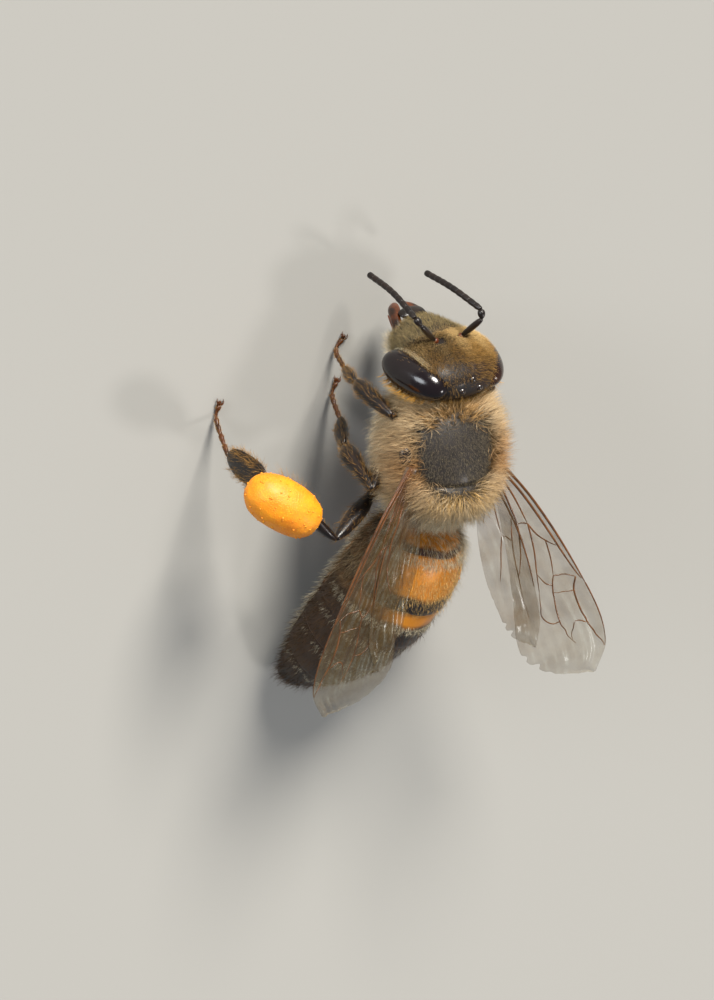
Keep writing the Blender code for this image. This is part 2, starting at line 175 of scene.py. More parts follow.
class Amount:
    """A shader value, on which plain arithmetic adds Math nodes."""

    def __init__(self, web: Web, socket: bpy.types.NodeSocket) -> None:
        """Wraps one output socket of a web."""
        self.web, self.socket = web, socket

    def _math(self, operation: str, *values: Amount | float) -> Amount:
        """One Math node over the given values."""
        return self.web.amount("ShaderNodeMath", {"operation": operation}, dict(enumerate(values)))

    def __add__(self, other: Amount | float) -> Amount:
        """The sum."""
        return self._math("ADD", self, other)

    __radd__ = __add__

    def __mul__(self, other: Amount | float) -> Amount:
        """The product."""
        return self._math("MULTIPLY", self, other)

    __rmul__ = __mul__

    def __sub__(self, other: Amount | float) -> Amount:
        """The difference."""
        return self._math("SUBTRACT", self, other)

    def __rsub__(self, other: float) -> Amount:
        """The difference from a plain number."""
        return self._math("SUBTRACT", other, self)

    def step(self, low: float, high: float) -> Amount:
        """0 below low, 1 above high, and a smooth step between."""
        settings = {"interpolation_type": "SMOOTHSTEP"}
        values = {"Value": self, "From Min": low, "From Max": high}
        return self.web.amount("ShaderNodeMapRange", settings, values)


class Web:
    """The nodes of one material."""

    def __init__(self, name: str) -> None:
        """Starts a material with its Principled shader."""
        self.material = bpy.data.materials.new(name)
        self.material.use_nodes = True
        self.tree = self.material.node_tree
        self.shader = self.tree.nodes["Principled BSDF"]

    def node(
        self, kind: str, settings: dict | None = None, values: dict | None = None
    ) -> bpy.types.Node:
        """Adds a node.

        Args:
            kind: the node's type.
            settings: its properties.
            values: values or links of its sockets, by name or number.

        Returns:
            The new node.
        """
        made = self.tree.nodes.new(kind)
        for key, value in (settings or {}).items():
            setattr(made, key, value)
        for key, value in (values or {}).items():
            self.feed(made.inputs[key], value)
        return made

    def feed(self, socket: bpy.types.NodeSocket, value: object) -> None:
        """Sets a socket to a plain value, or links it to what is given."""
        if isinstance(value, Amount):
            self.tree.links.new(value.socket, socket)
        elif isinstance(value, bpy.types.NodeSocket):
            self.tree.links.new(value, socket)
        elif isinstance(value, tuple) and socket.type == "RGBA":
            socket.default_value = (*value, 1.0)[:4]
        else:
            socket.default_value = value

    def amount(self, kind: str, settings: dict | None, values: dict) -> Amount:
        """Adds a node and gives its first output as an amount."""
        return Amount(self, self.node(kind, settings, values).outputs[0])

    def place(self) -> bpy.types.NodeSocket:
        """The object's own coordinates."""
        return self.node("ShaderNodeTexCoord").outputs["Object"]

    def noise(self, size_mm: float, detail: float = 3.0) -> Amount:
        """Noise with features of a size given in millimetres."""
        values = {"Vector": self.place(), "Scale": 1 / (size_mm * MM), "Detail": detail}
        return self.amount("ShaderNodeTexNoise", None, values)

    def cells(self, size_mm: float) -> Amount:
        """The distance to the points of a cell pattern of a size given in millimetres."""
        values = {"Vector": self.place(), "Scale": 1 / (size_mm * MM)}
        return self.amount("ShaderNodeTexVoronoi", None, values)

    def tint(self) -> bpy.types.NodeSocket:
        """The colour kept on the piece's points."""
        return self.node("ShaderNodeAttribute", {"attribute_name": "tint"}).outputs["Color"]

    def blend(
        self, first: object, second: object, share: Amount | float, mode: str = "MIX"
    ) -> bpy.types.NodeSocket:
        """Two colours mixed."""
        settings = {"data_type": "RGBA", "blend_type": mode}
        made = self.node("ShaderNodeMix", settings, {0: share, 6: first, 7: second})
        return made.outputs[2]

    def bump(
        self, height: Amount, depth_mm: float, under: bpy.types.NodeSocket | None = None
    ) -> bpy.types.NodeSocket:
        """A bump of a real depth, on top of another where one is given."""
        values = {"Height": height, "Distance": depth_mm * MM, "Strength": 1.0}
        if under is not None:
            values["Normal"] = under
        return self.node("ShaderNodeBump", None, values).outputs["Normal"]

    def finish(self, **sockets: object) -> bpy.types.Material:
        """Feeds the Principled shader; a name's underscores stand for spaces."""
        for name, value in sockets.items():
            self.feed(self.shader.inputs[name.replace("_", " ")], value)
        return self.material


@dataclass(frozen=True)
class Shell:
    """Hard, glossy outer shell with fine pits."""

    name: str
    colour: Colour
    worn: Colour
    roughness: float = 0.28
    pit_mm: float = 0.05
    depth_mm: float = 0.006
    coat: float = 0.4

    def material(self) -> bpy.types.Material:
        """Builds the finish."""
        web = Web(self.name)
        patches = web.noise(0.35).step(0.35, 0.7)
        pits = web.cells(self.pit_mm).step(0.0, 0.45)
        grain = web.noise(0.03, 2.0)
        normal = web.bump(pits * 0.7 + grain * 0.3, self.depth_mm)
        return web.finish(
            Base_Color=web.blend(self.colour, self.worn, patches * 0.8),
            Roughness=self.roughness + grain * 0.15,
            Coat_Weight=self.coat,
            Coat_Roughness=0.12,
            Specular_IOR_Level=0.3,
            Normal=normal,
        )


@dataclass(frozen=True)
class Skin:
    """Pitted skin under the fur, in the colours kept on its points."""

    name: str
    roughness: float = 0.42
    coat: float = 0.06
    pit_mm: float = 0.05
    depth_mm: float = 0.008

    def material(self) -> bpy.types.Material:
        """Builds the finish."""
        web = Web(self.name)
        pits = web.cells(self.pit_mm).step(0.0, 0.5)
        grain = web.noise(0.04, 3.0)
        patches = web.noise(0.2).step(0.35, 0.75) * 0.6
        dark = web.blend(web.tint(), (0.25, 0.22, 0.2), patches, "MULTIPLY")
        normal = web.bump(pits * 0.6 + grain * 0.4, self.depth_mm)
        return web.finish(
            Base_Color=dark,
            Roughness=self.roughness + grain * 0.2,
            Coat_Weight=self.coat,
            Coat_Roughness=0.15,
            Specular_IOR_Level=0.3,
            Normal=normal,
        )


@dataclass(frozen=True)
class Hair:
    """Dry hair in the colours kept on its points."""

    name: str
    roughness: float = 0.42

    def material(self) -> bpy.types.Material:
        """Builds the finish."""
        web = Web(self.name)
        bright = web.noise(0.15, 1.0).step(0.2, 0.8)
        return web.finish(
            Base_Color=web.blend(web.tint(), (0.8, 0.75, 0.7), bright * 0.6, "MULTIPLY"),
            Roughness=self.roughness + 0.15 * bright,
            Specular_IOR_Level=0.2,
        )


@dataclass(frozen=True)
class EyeGloss:
    """Near-black, finely faceted compound eye, in the colours kept on its points."""

    name: str
    colour: Colour = srgb(22, 12, 16)
    facet_mm: float = 0.032

    def material(self) -> bpy.types.Material:
        """Builds the finish."""
        web = Web(self.name)
        facets = web.cells(self.facet_mm).step(0.0, 0.6)
        return web.finish(
            Base_Color=web.blend(web.tint(), self.colour, 0.25),
            Roughness=0.14 + facets * 0.06,
            Coat_Weight=0.3,
            Coat_Roughness=0.05,
            Specular_IOR_Level=0.3,
            Normal=web.bump(1.0 - facets, 0.0012),
        )


@dataclass(frozen=True)
class Membrane:
    """Clear wing membrane, fine-haired, with a coloured sheen."""

    name: str
    smoke: Colour = srgb(96, 70, 42)

    def material(self) -> bpy.types.Material:
        """Builds the finish."""
        web = Web(self.name)
        cloud = web.noise(0.9, 2.0).step(0.3, 0.75)
        fine = web.cells(0.045).step(0.0, 0.5)
        crease = web.noise(0.5, 3.0)
        normal = web.bump(crease, 0.06, web.bump(1.0 - fine, 0.003))
        return web.finish(
            Base_Color=web.blend(web.tint(), self.smoke, cloud * 0.35),
            Roughness=0.2 + fine * 0.14,
            Alpha=0.2 + cloud * 0.12 + (1.0 - fine) * 0.05,
            Coat_Weight=0.45,
            Coat_Roughness=0.12,
            Thin_Film_Thickness=380.0,
            Thin_Film_IOR=1.45,
            Specular_IOR_Level=0.5,
            Normal=normal,
        )


@dataclass(frozen=True)
class Waxy:
    """Packed pollen: waxy, granular and bright."""

    name: str
    colour: Colour = srgb(226, 140, 2)
    deep: Colour = srgb(204, 108, 1)
    pale: Colour = srgb(240, 168, 14)
    grain_mm: float = 0.055

    def material(self) -> bpy.types.Material:
        """Builds the finish."""
        web = Web(self.name)
        grains = web.cells(self.grain_mm).step(0.05, 0.55)
        clumps = web.noise(0.6, 3.0).step(0.3, 0.7)
        base = web.blend(self.colour, self.deep, clumps * 0.7)
        base = web.blend(base, self.pale, (1.0 - grains) * 0.45)
        normal = web.bump(1.0 - grains, 0.006, web.bump(web.noise(0.3, 3.0), 0.02))
        return web.finish(
            Base_Color=base,
            Roughness=0.45 + grains * 0.15,
            Subsurface_Weight=0.1,
            Subsurface_Scale=0.0002,
            Coat_Weight=0.06,
            Coat_Roughness=0.3,
            Normal=normal,
        )


@dataclass(frozen=True)
class Plates:
    """Satin plates of the abdomen, in the colours kept on their points."""

    name: str

    def material(self) -> bpy.types.Material:
        """Builds the finish."""
        web = Web(self.name)
        pits = web.cells(0.07).step(0.0, 0.45)
        grain = web.noise(0.05, 3.0)
        uneven = web.noise(0.5, 2.0).step(0.3, 0.7)
        return web.finish(
            Base_Color=web.blend(web.tint(), (0.62, 0.52, 0.45), uneven * 0.5, "MULTIPLY"),
            Roughness=0.3 + grain * 0.18,
            Coat_Weight=0.08,
            Coat_Roughness=0.2,
            Specular_IOR_Level=0.35,
            Normal=web.bump(pits * 0.6 + grain * 0.4, 0.006),
        )


@dataclass(frozen=True)
class StudioFloor:
    """Plain pale floor."""

    name: str
    colour: Colour = srgb(158, 157, 153)

    def material(self) -> bpy.types.Material:
        """Builds the finish."""
        return Web(self.name).finish(Base_Color=self.colour, Roughness=0.85)


# ------------------------------------------------------------------------------ shapes


@dataclass
class Form:
    """A closed shape given by its surface over a length from 0 to 1 and a way round.

    surface takes arrays of v, from 0 at one pole to 1 at the other, and of phi, the
    angle round, and gives points in millimetres.
    """

    surface: Callable[[Array, Array], Array]

    def normals(self, v: Array, phi: Array) -> Array:
        """Unit normals that point outwards."""
        step = 1e-3
        v = np.clip(v, 2 * step, 1 - 2 * step)
        along = self.surface(v + step, phi) - self.surface(v - step, phi)
        around = self.surface(v, phi + step) - self.surface(v, phi - step)
        normal = unit(np.cross(around, along))
        inside = self.surface(v, phi + math.pi) - self.surface(v, phi)
        flip = np.sign(-(normal * inside).sum(-1, keepdims=True))
        return normal * np.where(flip == 0, 1, flip)

    def sculpt(
        self, rows: int, sides: int, levels: Sequence[float] | None = None
    ) -> bmesh.types.BMesh:
        """Builds the shape from a sphere whose rows are laid along it.

        Args:
            rows: how many rows of faces it has.
            sides: how many faces it has round.
            levels: the v of each row, where they aren't even.

        Returns:
            A closed mesh in millimetres, with a map named Surface.
        """
        mesh = bmesh.new()
        bmesh.ops.create_uvsphere(mesh, u_segments=sides, v_segments=rows, radius=1.0)
        balls = np.array([vert.co for vert in mesh.verts])
        row = np.arccos(np.clip(balls[:, 2], -1, 1)) / math.pi
        if levels is not None:
            row = np.asarray(levels)[np.rint(row * rows).astype(int)]
        phi = np.arctan2(balls[:, 1], balls[:, 0])
        points = self.surface(row, phi)
        for vert, point in zip(mesh.verts, points):
            vert.co = point
        layer = mesh.loops.layers.uv.new("Surface")
        around = phi / (2 * math.pi) + 0.5
        for face in mesh.faces:
            turns = [around[loop.vert.index] for loop in face.loops]
            wraps = max(turns) - min(turns) > 0.5
            for loop, turn in zip(face.loops, turns):
                turn = turn + 1.0 if wraps and turn < 0.5 else turn
                loop[layer].uv = (turn, row[loop.vert.index])
        bmesh.ops.recalc_face_normals(mesh, faces=mesh.faces)
        return mesh


def rounded(v: Array, square: float = 2.0) -> tuple[Array, Array]:
    """The place along a shape's middle line, from -1 to 1, and how wide its ends leave it."""
    along = -np.cos(math.pi * v)
    return along, np.maximum(1 - np.abs(along) ** square, 0.0) ** (1 / square)


def ovoid(centre: Array, axes: Sequence[Array], square: float = 2.0) -> Form:
    """An egg round its three half-axes, the last of them from pole to pole."""

    def surface(v: Array, phi: Array) -> Array:
        along, width = rounded(v, square)
        return (
            centre
            + np.outer(along, axes[2])
            + np.outer(width * np.cos(phi), axes[0])
            + np.outer(width * np.sin(phi), axes[1])
        )

    return Form(surface)


def rod(
    path: Sequence[Array],
    radii: Sequence[tuple[float, float, float]],
    face: Array,
    square: float = 4.0,
) -> Form:
    """A rounded rod along a path.

    Args:
        path: its middle line.
        radii: (place from 0 to 1, half-width, half-depth) along it.
        face: the way that its broad side looks.
        square: how blunt its ends are.

    Returns:
        The form.
    """
    knots = np.asarray(path, float)
    lengths = np.concatenate([[0.0], np.cumsum(np.linalg.norm(np.diff(knots, axis=0), axis=1))])
    line, sizes = curve(np.column_stack([lengths, knots])), curve(radii)
    whole = lengths[-1]

    def surface(v: Array, phi: Array) -> Array:
        along, end = rounded(v, square)
        t = (along + 1) / 2
        axis = unit(line(t * whole + whole * 0.03) - line(t * whole - whole * 0.03))
        out = unit(face - axis * (axis @ face)[:, None])
        across = np.cross(axis, out)
        wide, deep = sizes(t).T * end
        return (
            line(t * whole)
            + across * (wide * np.cos(phi))[:, None]
            + out * (deep * np.sin(phi))[:, None]
        )

    return Form(surface)


def settle(
    name: str, mesh: bmesh.types.BMesh, finish: bpy.types.Material, slot: str, *nodes: str
) -> bpy.types.Object:
    """Makes a finished piece.

    Args:
        name: the piece's name.
        mesh: its shape in millimetres, which is used up.
        finish: its material.
        slot: the record's slot for its finish; it is not used.
        nodes: the CAD nodes that it stands for.

    Returns:
        The piece, riding on the body.
    """
    bmesh.ops.scale(mesh, vec=(MM, MM, MM), verts=mesh.verts)
    data = bpy.data.meshes.new(name)
    mesh.to_mesh(data)
    mesh.free()
    return register(name, data, finish, slot, *nodes)


def register(
    name: str, data: bpy.types.Mesh, finish: bpy.types.Material, slot: str, *nodes: str
) -> bpy.types.Object:
    """Puts a mesh in the scene as a piece of the bee."""
    data.shade_smooth()
    data.materials.append(finish)
    piece = bpy.data.objects.new(name, data)
    bpy.context.collection.objects.link(piece)
    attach(piece, "root")
    if nodes:
        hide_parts(*nodes)
    log.info("%s: %d faces", name, len(data.polygons))
    return piece


def gathered(meshes: Iterable[bmesh.types.BMesh]) -> bmesh.types.BMesh:
    """Several meshes as one."""
    whole = bmesh.new()
    for mesh in meshes:
        data = bpy.data.meshes.new("part")
        mesh.to_mesh(data)
        mesh.free()
        whole.from_mesh(data)
        bpy.data.meshes.remove(data)
    return whole


def tint(piece: bpy.types.Object, colours: Callable[[Array], Array]) -> None:
    """Keeps a colour on each point of a piece, from its place in millimetres."""
    count = len(piece.data.vertices)
    points = np.empty(count * 3, np.float32)
    piece.data.vertices.foreach_get("co", points)
    values = np.ones((count, 4), np.float32)
    values[:, :3] = colours(points.reshape(-1, 3) / MM)
    layer = piece.data.color_attributes.new("tint", "FLOAT_COLOR", "POINT")
    layer.data.foreach_set("color", values.ravel())


# --------------------------------------------------------------------------------- fur


@dataclass
class Lock:
    """One kind of hair on a form.

    density says how thick it grows from 0 to 1, comb which way it lies, and colour how
    it looks, each from places in millimetres.
    """

    count: int
    length: tuple[float, float]
    width: float
    density: Callable[[Array], Array]
    comb: Callable[[Array], Array]
    colour: Callable[[Array], Array]
    lift: float = 0.5
    bend: float = 0.3
    stray: float = 0.25
    clump: float = 0.0


@dataclass
class Coat:
    """The hair of one or more forms, as one solid piece of three-sided, tapered hairs.

    A hair has seven points: three round its root, three round its middle and its tip.
    HAIR holds its faces, SPREAD its points on its patch of the unwrap, PATCH the patch's
    size, PAINTED_ROOT_SHADE_TIP_LIGHT how bright its points are, with painted shade at the
    roots where the hairs shade one another and tips lighter partly in their own colour and
    partly as painted light, ROOT_DEPTH how deep it is set, and LOWEST how near the floor it
    may come. Hairs of one cell share a lean, one of CLUMPS drawn, which HASH picks.
    """

    name: str
    finish: bpy.types.Material
    seed: int
    locks: list[tuple[Form, Lock]]
    PATCH = 0.003
    ROOT_DEPTH = 0.02
    LOWEST = 0.004
    CLUMPS = 4096
    HASH = (73856093, 19349663, 83492791)
    HAIR = (
        (2, 1, 0), (0, 1, 4), (1, 2, 5), (2, 0, 3), (0, 4, 3), (1, 5, 4), (2, 3, 5),
        (3, 4, 6), (4, 5, 6), (5, 3, 6),
    )
    SPREAD = ((0, 0), (0.5, 0), (1, 0), (0, 0.5), (0.5, 0.5), (1, 0.5), (0.5, 1))
    # Painted shade darkens the roots, where the hairs shade one another; the lighter tips are
    # partly the hair's own colour and partly painted light.
    PAINTED_ROOT_SHADE_TIP_LIGHT = (0.26, 0.26, 0.26, 0.85, 0.85, 0.85, 1.3)

    def roots(self, form: Form, lock: Lock, rng: np.random.Generator) -> tuple[Array, Array]:
        """Where a lock's hairs stand: v and phi, thicker where its density says so."""
        rows, sides = 120, 180
        v = (np.arange(rows) + 0.5) / rows
        phi = (np.arange(sides) + 0.5) / sides * 2 * math.pi - math.pi
        vs, ps = (grid.ravel() for grid in np.meshgrid(v, phi, indexing="ij"))
        step_v, step_p = 0.5 / rows, math.pi / sides
        low, high = np.clip(vs - step_v, 0, 1), np.clip(vs + step_v, 0, 1)
        along = form.surface(high, ps) - form.surface(low, ps)
        around = form.surface(vs, ps + step_p) - form.surface(vs, ps - step_p)
        area = np.linalg.norm(np.cross(along, around), axis=1)
        weight = area * np.clip(lock.density(form.surface(vs, ps)), 0, 1)
        cells = rng.choice(len(vs), lock.count, p=weight / weight.sum())
        return (
            vs[cells] + rng.uniform(-1, 1, lock.count) * step_v,
            ps[cells] + rng.uniform(-1, 1, lock.count) * step_p,
        )

    def strands(
        self, form: Form, lock: Lock, rng: np.random.Generator
    ) -> tuple[Array, Array, Array]:
        """A lock's hairs.

        Args:
            form: what it grows on.
            lock: the kind of hair.
            rng: the draws.

        Returns:
            Points of 7 to a hair in millimetres, their colours, and each root's place on
            the unwrap.
        """
        v, phi = self.roots(form, lock, rng)
        root, normal = form.surface(v, phi), form.normals(v, phi)
        comb = lock.comb(root)
        comb = unit(comb - normal * (comb * normal).sum(-1, keepdims=True))
        count = len(root)
        noise = rng.normal(0, lock.stray, (count, 3))
        if lock.clump:
            cell = np.floor(root / lock.clump).astype(int)
            key = (cell * self.HASH).sum(-1) % self.CLUMPS
            noise += rng.normal(0, 0.3, (self.CLUMPS, 3))[key]
        way = unit(comb * (1 - lock.lift) + normal * lock.lift + noise)
        way = unit(way + normal * np.clip(0.1 - (way * normal).sum(-1, keepdims=True), 0, None))
        length = rng.uniform(*lock.length, count)[:, None]
        lean = comb * lock.bend * length
        middle, tip = root + way * length * 0.5 + lean * 0.2, root + way * length * 0.95 + lean
        first = unit(np.cross(way, rng.normal(0, 1, (count, 3))))
        second = np.cross(way, first)
        rings = []
        for centre, width in ((root - normal * self.ROOT_DEPTH, 1.0), (middle, 0.75)):
            for corner in range(3):
                turn = corner * 2 * math.pi / 3
                spoke = first * math.cos(turn) + second * math.sin(turn)
                rings.append(centre + spoke * lock.width / 2 * width)
        points = np.stack([*rings, tip], 1)
        points[..., 2] = np.maximum(points[..., 2], self.LOWEST)
        colour = lock.colour(root) * rng.uniform(0.6, 1.2, (count, 1))
        colours = np.clip(colour[:, None, :] * np.array(self.PAINTED_ROOT_SHADE_TIP_LIGHT)[None, :, None], 0, 1)
        return points, colours, np.stack([(phi / (2 * math.pi) + 0.5) % 1.0, v], 1)

    def build(self) -> bpy.types.Object:
        """Grows every lock into one piece, each form's hair on its own tile of the unwrap."""
        rng = np.random.default_rng(SEED + self.seed)
        numbers: dict[int, int] = {}
        for form, _ in self.locks:
            numbers.setdefault(id(form), len(numbers))
        tiles = math.ceil(math.sqrt(len(numbers)))
        grown = []
        for form, lock in self.locks:
            points, colours, places = self.strands(form, lock, rng)
            tile = np.array(divmod(numbers[id(form)], tiles))[::-1]
            places = (places * (1 - 2 * self.PATCH * tiles) + tile) / tiles
            grown.append((points, colours, places))
        points, colours, places = (np.concatenate(parts) for parts in zip(*grown))
        count, each = points.shape[:2]
        firsts = (np.arange(count) * each)[:, None, None]
        faces = (np.array(self.HAIR)[None] + firsts).reshape(-1, 3)
        data = bpy.data.meshes.new(self.name)
        data.vertices.add(count * each)
        data.vertices.foreach_set("co", (points.reshape(-1, 3) * MM).ravel().astype(np.float32))
        data.loops.add(faces.size)
        data.loops.foreach_set("vertex_index", faces.ravel().astype(np.int32))
        data.polygons.add(len(faces))
        data.polygons.foreach_set("loop_start", np.arange(0, faces.size, 3, dtype=np.int32))
        data.update(calc_edges=True)
        corners = places[:, None, :] + np.array(self.SPREAD)[None] * self.PATCH
        corners = corners.reshape(-1, 2)[faces.ravel()]
        unwrap = data.uv_layers.new(name="OFBake")
        unwrap.data.foreach_set("uv", corners.ravel().astype(np.float32))
        layer = data.color_attributes.new("tint", "FLOAT_COLOR", "POINT")
        shade = np.concatenate([colours.reshape(-1, 3), np.ones((count * each, 1))], 1)
        layer.data.foreach_set("color", shade.ravel().astype(np.float32))
        return register(self.name, data, self.finish, "coat")


# ------------------------------------------------------------------------------- parts


BLACK = srgb(24, 19, 18)
CHARCOAL = srgb(38, 34, 32)
UMBER = srgb(58, 32, 24)
RUST = srgb(142, 58, 24)
ORANGE = srgb(194, 122, 18)
CREAM = srgb(232, 216, 184)
PALE = srgb(238, 226, 196)
TAN = srgb(208, 182, 142)
GOLD = srgb(212, 172, 104)
GINGER = srgb(186, 148, 96)
SILVER = srgb(134, 122, 98)
OLIVE = srgb(160, 142, 100)


def plain(colour: Colour) -> Callable[[Array], Array]:
    """The same colour everywhere."""
    return lambda points: np.tile(colour, (len(points), 1))


def everywhere(points: Array) -> Array:
    """Full density."""
    return np.ones(len(points))


def steady(*way: float) -> Callable[[Array], Array]:
    """The same comb direction everywhere."""
    return lambda points: np.tile(way, (len(points), 1)).astype(float)


@dataclass(frozen=True)
class Finishes:
    """Every finish of the bee."""

    coat_skin: bpy.types.Material
    hair: bpy.types.Material
    plates: bpy.types.Material
    dark: bpy.types.Material
    amber: bpy.types.Material
    joint: bpy.types.Material
    horn: bpy.types.Material
    jaw: bpy.types.Material
    eye: bpy.types.Material
    ocellus: bpy.types.Material
    membrane: bpy.types.Material
    vein: bpy.types.Material
    pollen: bpy.types.Material

    @classmethod
    def made(cls) -> Finishes:
        """Builds them all."""
        dark, brown, clay = srgb(16, 12, 11), srgb(122, 52, 8), srgb(84, 38, 14)
        horn, jaw, tan = srgb(74, 38, 10), srgb(26, 14, 8), srgb(98, 58, 22)
        looks = {
            "coat_skin": Skin("skin"),
            "hair": Hair("hair"),
            "plates": Plates("plates"),
            "dark": Shell("dark shell", dark, srgb(32, 21, 16), 0.26, coat=0.15),
            "amber": Shell("amber shell", brown, srgb(38, 16, 10), 0.28, coat=0.2),
            "joint": Shell("pale joint", clay, srgb(44, 20, 9), 0.3, coat=0.2),
            "horn": Shell("claw", horn, srgb(30, 17, 7), 0.3, coat=0.08),
            "jaw": Shell("jaw", jaw, srgb(104, 50, 12), 0.24, coat=0.3),
            "eye": EyeGloss("eye"),
            "ocellus": Shell("ocellus", srgb(28, 16, 10), BLACK, 0.08, depth_mm=0.001, coat=1.0),
            "membrane": Membrane("wing membrane"),
            "vein": Shell("vein", tan, srgb(54, 32, 14), 0.3, depth_mm=0.002),
            "pollen": Waxy("packed pollen"),
        }
        return cls(**{part: look.material() for part, look in looks.items()})


@dataclass
class Head:
    """The head: skull, eyes, mouth parts and feelers, in the head's own frame.

    width, height, face and nape are the bald skull's half-sizes, and eye_lean tips the
    eyes' upper ends inwards. jaw_knots is the left jaw's middle line with jaw_sizes along
    it, and tongue_knots that of a tongue blade, with its place across as a share.
    """

    finishes: Finishes
    width: float = 1.6
    face: float = 0.86
    nape: float = 0.78
    height: float = 1.62
    eye_at: Place = (1.21, 0.06, 0.36)
    eye_half: Place = (0.62, 0.6, 1.2)
    eye_lean: float = 14.0
    socket_at: Place = (0.33, -0.7, 0.15)
    lip_at: Place = (0.0, -0.7, -1.68)
    lip_half: Place = (0.46, 0.14, 0.24)
    jaw_knots: Outline = (
        (0.58, -0.3, -1.4), (0.5, -0.48, -1.75), (0.34, -0.58, -2.1), (0.1, -0.6, -2.45),
    )
    jaw_sizes: Outline = ((0, 0.2, 0.18), (0.35, 0.16, 0.14), (0.7, 0.19, 0.11), (1, 0.14, 0.06))
    tongue_knots: Outline = (
        (1, 0.2, -1.5), (1, 0.12, -1.9), (0.7, 0.02, -2.35), (0.3, -0.02, -2.68),
    )
    scape: float = 1.25
    pedicel: float = 0.3
    flagellum: float = 2.5
    ringlets: int = 10
    feeler_aims: dict[Side, tuple[Aim, ...]] = field(
        default_factory=lambda: {
            Side.LEFT: ((45, 10), (35, -35), (20, -76), (80, -86)),
            Side.RIGHT: ((-21, 32), (0, -25), (60, -72), (115, -82)),
        }
    )

    def __post_init__(self) -> None:
        """Works out the skull and the eyes."""
        self.skull = Form(self._skull)
        self.eyes = {side: self._eye(side) for side in Side}

    @staticmethod
    def local(points: Array) -> Array:
        """Places in the head's own frame."""
        return (points - THORAX_AT - HEAD_AT) @ HEAD_TURN

    def _skull(self, v: Array, phi: Array) -> Array:
        """The bald skull from crown to mouth, its face towards -Y."""
        outline = curve(
            [
                (-1.0, 0.86, 0.7, 0.9),
                (-0.6, 0.97, 0.92, 1.0),
                (-0.2, 1.0, 1.0, 1.0),
                (0.24, 0.9, 1.0, 0.85),
                (0.64, 0.7, 0.98, 0.66),
                (1.0, 0.62, 0.8, 0.5),
            ]
        )
        s, end = rounded(v, 3.0)
        wide, face, nape = outline(s).T
        x = self.width * wide * end * power(np.cos(phi), 2.3)
        front = np.sin(phi) < 0
        y = np.where(front, self.face * face, self.nape * nape) * end * power(np.sin(phi), 2.3)
        z = -self.height * s * (1 + 0.13 * smooth(0.0, 1.0, s))
        clypeus = (
            np.exp(-((x / 0.55) ** 4)) * smooth(-1.65, -1.35, z) * (1 - smooth(-0.45, -0.2, z))
        )
        brow = np.exp(-((x / 0.35) ** 2) - ((z - 0.3) / 0.35) ** 2)
        y = y - front * (0.12 * clypeus + 0.06 * brow)
        return on_head(np.stack([x, y, z], -1))

    def _eye(self, side: Side) -> Form:
        """A compound eye."""
        lean = np.array(Matrix.Rotation(math.radians(-self.eye_lean * side.value), 3, "Y"))
        basis = HEAD_TURN @ lean
        x, y, z = self.eye_at
        axes = [basis[:, i] * half for i, half in enumerate(self.eye_half)]
        return ovoid(on_head((x * side.value, y, z)), axes, 2.2)

    def nearest_eye(self, points: Array) -> Array:
        """How far out points lie from the nearer eye, 1 being its surface."""
        x, y, z = self.local(points).T
        lean = math.radians(self.eye_lean)
        off = np.stack([np.abs(x) - self.eye_at[0], y - self.eye_at[1], z - self.eye_at[2]], -1)
        across = off[:, 0] * math.cos(lean) + off[:, 2] * math.sin(lean)
        along = off[:, 2] * math.cos(lean) - off[:, 0] * math.sin(lean)
        return np.linalg.norm(np.stack([across, off[:, 1], along], -1) / self.eye_half, axis=-1)

    def build(self) -> None:
        """Makes every piece of the head."""
        bald = self.skull.sculpt(96, 128)
        skull = settle("head_skin", bald, self.finishes.coat_skin, "coat", "head")
        tint(skull, self.skin_colour)
        for side, form in self.eyes.items():
            node = f"eye_{side.word}"
            eye = settle(f"{node}_ball", form.sculpt(48, 64), self.finishes.eye, "eye", node)
            tint(eye, self.eye_colour)
        self.build_ocelli()
        self.build_mouth()
        for side in Side:
            self.build_feeler(side)

    def skin_colour(self, points: Array) -> Array:
        """Black skull, with a rusty lower edge of the clypeus and painted light that browns its
        right side.
        """
        x, _, z = self.local(points).T
        rust = smooth(-1.35, -1.6, z) * np.exp(-((x / 0.6) ** 2))
        # Painted light: the skull turns brown towards its right side, as where the light falls on
        # it.
        shell = mixed(BLACK, srgb(48, 30, 18), smooth(0.4, -1.0, x))
        return mixed(shell, RUST, rust * 0.8)

    def eye_colour(self, points: Array) -> Array:
        """Violet black, with painted light that browns the right eye towards its rear."""
        x, y, _ = self.local(points).T
        return mixed(srgb(14, 8, 10), srgb(66, 37, 16), smooth(-0.5, 0.4, y) * smooth(0.4, -0.6, x))

    def build_ocelli(self) -> None:
        """Three simple eyes on the crown."""
        meshes = []
        for x, y in ((0.0, -0.22), (-0.31, 0.12), (0.31, 0.12)):
            top = self.top(x, y)
            axes = [way * half for way, half in zip(HEAD_TURN.T, (0.12, 0.12, 0.11))]
            meshes.append(ovoid(top - HEAD_TURN[:, 2] * 0.04, axes).sculpt(12, 20))
        settle("ocelli", gathered(meshes), self.finishes.ocellus, "eye", "head")

    def top(self, x: float, y: float) -> Array:
        """The place on the crown over x and y."""
        v, phi = np.meshgrid(np.linspace(0.01, 0.45, 60), np.linspace(-math.pi, math.pi, 90))
        points = self.skull.surface(v.ravel(), phi.ravel())
        near = self.local(points)
        return points[np.argmin((near[:, 0] - x) ** 2 + (near[:, 1] - y) ** 2)]

